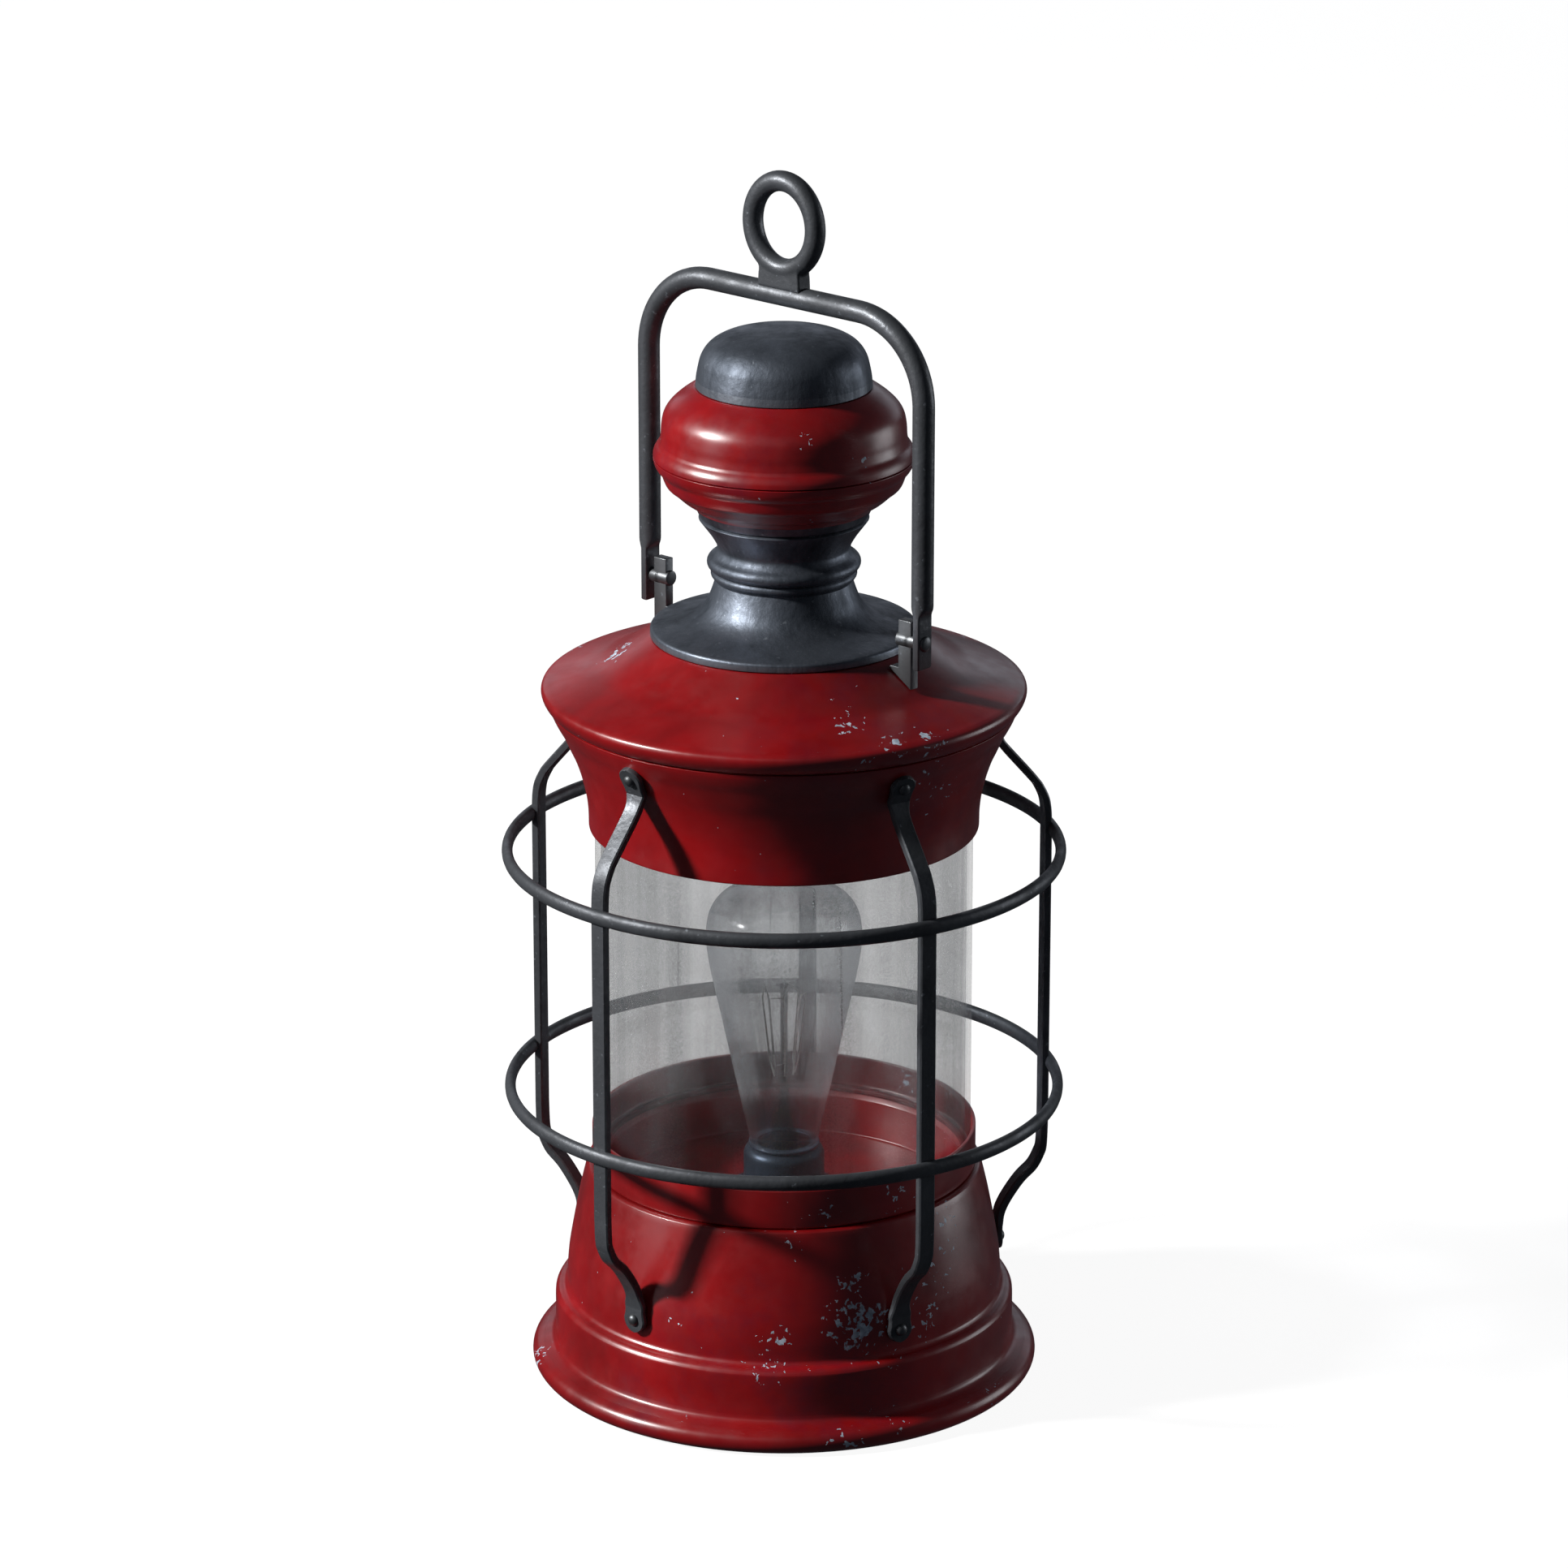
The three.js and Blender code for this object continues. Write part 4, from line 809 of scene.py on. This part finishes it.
def rivet(of, place):
    """A rivet with a low domed head, its axis along the place's own Z."""
    shank = [(0, -3.4), (1.5, -3.4), (1.5, 0.1), (2.5, 0.15)]
    arch = arc(0, -0.15, 2.5, 8, 90, 8)[:-1]
    head = arch[:1] + [(r, 0.15 + (z - 0.15) * (RIVET_RISE - 0.15) / 2.2) for r, z in arch[1:]]
    bm = bmesh.new()
    lathe(bm, shank + head + [(0, RIVET_RISE)], 24, place)
    dress(finish_mesh(of + "_domed", bm, 50), "bracket_steel", "lantern", of)


def leaned(r, z, angle):
    """A place at a radius and a height, its own Z turned down from upright by an angle."""
    return Matrix.Translation((r, 0, z)) @ Matrix.Rotation(angle, 4, "Y")


for i in range(CAGE_COUNT):
    cage_bar(i)
    rivet(f"cage_rivet_lower_{i + 1}", turned_to(i) @ leaned(low_face, low_rivet_z, math.pi / 2))
    rivet(f"cage_rivet_upper_{i + 1}", turned_to(i) @ leaned(high_face, high_rivet_z, math.pi / 2 + tilt))

# ---------------------------------------------------------------- brackets, studs and bail
bail_low, bail_high = corners("bail")
stud_low, stud_high = corners("pivot_stud_right")
pivot_z = (stud_low.z + stud_high.z) / 2
PIN_R = (stud_high.z - stud_low.z) / 2
END_T = 3.2
END_WIDTH = 8.4
WIRE_R = 4.4
CORNER_R = 33
STUD_PROUD = 1.2  # how far a stud stands out of the bail's end
STUD_DOME = 0.9
FLAT_RISE = 12.5  # flat ends, up from the pivot
BRACKET_BAR = 6.5
BRACKET_HALF = 2.2
ROOF_PITCH = math.radians(33)
DRAWN_BELOW = 1.6  # the wire begins to flatten this far below wire_z
DRAWN_LONG = 4.2
SQUARE = 0.28  # power of the flat ends' section. At 1 the section is round
BAIL_SIDES = 28
leg_x = stud_high.x - STUD_PROUD - END_T / 2
wire_z = pivot_z + FLAT_RISE
cross_z = bail_high.z - WIRE_R


def along_pivot(side):
    """A place on the pivot, its own Z pointing out to one side."""
    return Matrix.Translation((0, 0, pivot_z)) @ Matrix.Rotation(side * math.pi / 2, 4, "Y")


def bracket(of, side):
    """An upright bar with a toe cut to the slope of the roof, and the boss on its pivot."""
    low, high = corners("bail_bracket_right")
    bar_in = high.x - BRACKET_BAR
    toe_z = low.z + (high.x - low.x) * math.tan(ROOF_PITCH)
    outline = [
        (bar_in, high.z), (bar_in, toe_z + 1), (low.x + 0.5, toe_z + 1), (low.x, toe_z + 0.5),
        (low.x, toe_z), (high.x, low.z), (high.x, high.z),
    ]
    bm = bmesh.new()
    prism(bm, [(side * x, z) for x, z in outline], BRACKET_HALF)
    made = bevelled(finish_mesh(of + "_cut", bm), 0.35)
    dress(made, "bracket_steel", "lantern", of)
    low, high = corners(of)
    boss_out = max(abs(low.x), abs(high.x)) - 0.5
    bm = bmesh.new()
    boss = rounded([(0, stud_low.x), (PIN_R, stud_low.x), (PIN_R, boss_out), (0, boss_out)], 0.7)
    lathe(bm, boss, 40, along_pivot(side))
    dress(finish_mesh(of + "_boss", bm, 60), "bracket_steel", "lantern")


def stud(of, side):
    """The outer end of a pin, with a low domed head."""
    shoulder = corners("bail_bracket_right")[1].x + CLEARANCE
    rim = stud_high.x - STUD_DOME
    pin = [(0, shoulder - 3), (PIN_R, shoulder - 3), (PIN_R, rim)]
    pin += [(PIN_R * math.cos(a), rim + STUD_DOME * math.sin(a)) for a in (0.35, 0.7, 1.0, 1.25, 1.42)]
    bm = bmesh.new()
    lathe(bm, pin + [(0, stud_high.x)], 40, along_pivot(side))
    dress(finish_mesh(of + "_turned", bm, 60), "bracket_steel", "lantern", of)


for side, name in ((1, "right"), (-1, "left")):
    bracket("bail_bracket_" + name, side)
    stud("pivot_stud_" + name, side)


def bail_sections():
    """Round wire over the top, drawn out flat at both ends."""
    round_z = wire_z + 4.5
    leg = [(leg_x, bail_low.z), (leg_x, bail_low.z + 0.5)]
    leg += [(leg_x, wire_z + rise) for rise in (-3, -1.5, -0.6, 0.3, 1.3, 2.6)]
    leg += [(leg_x, round_z + (cross_z - CORNER_R - round_z) * k / 8) for k in range(8)]
    leg += arc(leg_x - CORNER_R, cross_z - CORNER_R, CORNER_R, 0, 90, 20)
    route = leg + [(leg_x - CORNER_R - 12, cross_z), (8, cross_z), (0, cross_z)]
    route += [(-x, z) for x, z in route[-2::-1]]
    route = [Vector(p) for p in route]
    sections = []
    for k, place in enumerate(route):
        run = (route[min(k + 1, len(route) - 1)] - route[max(k - 1, 0)]).normalized()
        out = Vector((run.y, -run.x))
        t = min(max((place.y - (wire_z - DRAWN_BELOW)) / DRAWN_LONG, 0), 1)
        t = t * t * (3 - 2 * t)
        wide = END_T / 2 + (WIRE_R - END_T / 2) * t
        deep = END_WIDTH / 2 + (WIRE_R - END_WIDTH / 2) * t
        if k in (0, len(route) - 1):
            wide, deep = wide - 0.4, deep - 0.4
        power = SQUARE + (1 - SQUARE) * t
        ring = []
        for s in range(BAIL_SIDES):
            a = 2 * math.pi * (s + 0.5) / BAIL_SIDES
            u = math.copysign(abs(math.cos(a)) ** power, math.cos(a)) * wide
            v = math.copysign(abs(math.sin(a)) ** power, math.sin(a)) * deep
            ring.append(Vector((place.x + out.x * u, v, place.y + out.y * u)))
        sections.append(ring)
    return sections


bm = bmesh.new()
loft(bm, bail_sections())
dress(finish_mesh("bail_drawn", bm, 45), "forged_steel", "bail_handle", "bail")

eye_low, eye_high = corners("bail_eye")
EYE_WIRE = 4.15
HOOP_HALF = 17.5  # the hoop's half height
HOOP_STEPS = 64
NECK_HALF = 10.8
NECK_T = 7.5
WELD_MM = 0.55
hoop_half_x = eye_high.x - EYE_WIRE
hoop_z = eye_high.z - EYE_WIRE - HOOP_HALF
loops = []
for k in range(HOOP_STEPS):
    a = 2 * math.pi * k / HOOP_STEPS
    centre = Vector((hoop_half_x * math.cos(a), 0, hoop_z + HOOP_HALF * math.sin(a)))
    out = Vector((HOOP_HALF * math.cos(a), 0, hoop_half_x * math.sin(a))).normalized()
    turns = [2 * math.pi * s / WIRE_SIDES for s in range(WIRE_SIDES)]
    loops.append([
        centre + out * EYE_WIRE * math.cos(turn) + Vector((0, EYE_WIRE * math.sin(turn), 0))
        for turn in turns
    ])
bm = bmesh.new()
loft(bm, loops, closed=True)
neck_top = hoop_z - HOOP_HALF
neck_side = [
    (NECK_HALF, eye_low.z), (NECK_HALF - 0.3, eye_low.z + 5), (NECK_HALF - 0.6, neck_top + 4),
    (NECK_HALF - 3.4, neck_top + 1.6), (3.4, neck_top - 1.6),
]
prism(bm, neck_side + [(-x, z) for x, z in neck_side[::-1]], NECK_T / 2)
eye = finish_mesh("bail_eye_forged", bm)
weld = eye.modifiers.new("weld", "REMESH")
weld.mode = "VOXEL"
weld.voxel_size = WELD_MM * MM
ease = eye.modifiers.new("ease", "SMOOTH")
ease.factor = 0.5
ease.iterations = 6
baked(eye)
eye.data.shade_smooth()
dress(eye, "forged_steel", "bail_handle", "bail_eye")

# ---------------------------------------------------------------- finishes on the nodes that stay
KEPT = {
    "zinc_steel": ["base_plate", "glass_stop", "lampholder_nut"]
    + [f"{kind}_{i}" for kind in ("base_tab", "base_screw") for i in (1, 2, 3)],
    "rubber": ["inlet_bush"],
    "ceramic": ["terminal_block", "lampholder_insulator", "bulb_cap_insulator"],
    "wire_cover": ["lead_live", "lead_neutral"],
    "brass": ["lampholder_shell", "lampholder_contact", "bulb_cap", "bulb_contact"],
    "tungsten": ["bulb_filament"],
}
for finish, names in KEPT.items():
    for name in names:
        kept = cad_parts[name]
        kept.data.materials.clear()
        kept.data.materials.append(FINISH[finish])

# ---------------------------------------------------------------- camera
VIEW_AZIMUTH = 41.26
VIEW_ELEVATION = 18.69
VIEW_DISTANCE = 2.6855
TARGET = Vector((0, 0, 0.2483))
FOCAL_MM = 153.9
SENSOR_MM = 36


def direction(azimuth, elevation):
    """Unit vector to a viewer who looks along +Y at azimuth 0."""
    a, e = math.radians(azimuth), math.radians(elevation)
    return Vector((math.sin(a) * math.cos(e), -math.cos(a) * math.cos(e), math.sin(e)))


lens = bpy.data.cameras.new("camera")
lens.lens = FOCAL_MM
lens.sensor_width = SENSOR_MM
lens.clip_end = 100
camera = bpy.data.objects.new("camera", lens)
camera.location = TARGET + direction(VIEW_AZIMUTH, VIEW_ELEVATION) * VIEW_DISTANCE
camera.rotation_mode = "QUATERNION"
camera.rotation_quaternion = (-direction(VIEW_AZIMUTH, VIEW_ELEVATION)).to_track_quat("-Z", "Y")
bpy.context.scene.collection.objects.link(camera)
bpy.context.scene.camera = camera


# ---------------------------------------------------------------- studio
def soft_light(name, azimuth, elevation, distance, size, watts, colour, tall=None):
    """A light that faces the lantern and isn't seen itself. Its size and distance are in metres."""
    data = bpy.data.lights.new(name, "AREA")
    data.shape = "RECTANGLE"
    data.size, data.size_y = size, tall or size
    data.energy = watts
    data.color = colour
    made = bpy.data.objects.new(name, data)
    way = direction(azimuth, elevation)
    made.location = TARGET + way * distance
    made.rotation_mode = "QUATERNION"
    made.rotation_quaternion = (-way).to_track_quat("-Z", "Y")
    made.visible_camera = False
    bpy.context.scene.collection.objects.link(made)


soft_light("key", VIEW_AZIMUTH - 78, 29, distance=3.2, size=0.3, watts=150, colour=(1.0, 0.985, 0.97))
soft_light("side", VIEW_AZIMUTH + 106, 4, distance=2.6, size=1.1, tall=1.3, watts=11,
           colour=(0.95, 0.97, 1.0))
soft_light("left", VIEW_AZIMUTH - 72, 5, distance=2.6, size=0.8, tall=1.2, watts=3.5,
           colour=(1.0, 0.94, 0.98))
soft_light("back", VIEW_AZIMUTH + 172, 14, distance=4.0, size=5.6, tall=0.9, watts=11,
           colour=(0.86, 0.90, 1.0))
soft_light("front_fill", VIEW_AZIMUTH - 20, 42, distance=3.0, size=1.6, watts=1.5,
           colour=(0.92, 0.95, 1.0))

SKY = (0.62, 0.70, 0.85, 1)
SKY_STRENGTH = 0.045
world = bpy.data.worlds.new("studio")
bpy.context.scene.world = world
world.use_nodes = True
sky = world.node_tree.nodes["Background"]
sky.inputs["Color"].default_value = SKY
sky.inputs["Strength"].default_value = SKY_STRENGTH


def pale_stage(name, glow, albedo):
    """A pale glowing surface that is seen from its front only."""
    made = bpy.data.materials.new(name)
    made.use_nodes = True
    tree = made.node_tree
    tree.nodes.clear()
    out = node(tree, "ShaderNodeOutputMaterial")
    diffuse = node(tree, "ShaderNodeBsdfDiffuse", Color=(albedo, albedo, albedo, 1))
    shine = node(tree, "ShaderNodeEmission", Color=(1, 1, 1, 1), Strength=glow)
    both = node(tree, "ShaderNodeAddShader")
    tree.links.new(diffuse.outputs[0], both.inputs[0])
    tree.links.new(shine.outputs[0], both.inputs[1])
    front = node(tree, "ShaderNodeNewGeometry")
    clear = node(tree, "ShaderNodeBsdfTransparent")
    mix = node(tree, "ShaderNodeMixShader")
    tree.links.new(front.outputs["Backfacing"], mix.inputs[0])
    tree.links.new(both.outputs[0], mix.inputs[1])
    tree.links.new(clear.outputs[0], mix.inputs[2])
    tree.links.new(mix.outputs[0], out.inputs["Surface"])
    return made


FLOOR_R = 12  # metres, as are the two below
FLOOR_DROP = 0.0002
BACKDROP_R = 14
bm = bmesh.new()
bmesh.ops.create_circle(bm, cap_ends=True, segments=96, radius=FLOOR_R)
bmesh.ops.translate(bm, vec=(0, 0, -FLOOR_DROP), verts=bm.verts)
floor = object_of("floor", bm)
floor.data.materials.append(pale_stage("floor_paint", glow=0.93, albedo=0.2))

bm = bmesh.new()
bmesh.ops.create_uvsphere(bm, u_segments=64, v_segments=32, radius=BACKDROP_R)
bmesh.ops.reverse_faces(bm, faces=bm.faces)
backdrop = object_of("backdrop", bm)
backdrop.data.materials.append(pale_stage("backdrop_paint", glow=1.0, albedo=0.0))

for stage in (floor, backdrop):
    stage.visible_diffuse = False
    stage.visible_glossy = False
    stage.visible_shadow = False

bpy.context.scene.view_settings.view_transform = "Standard"
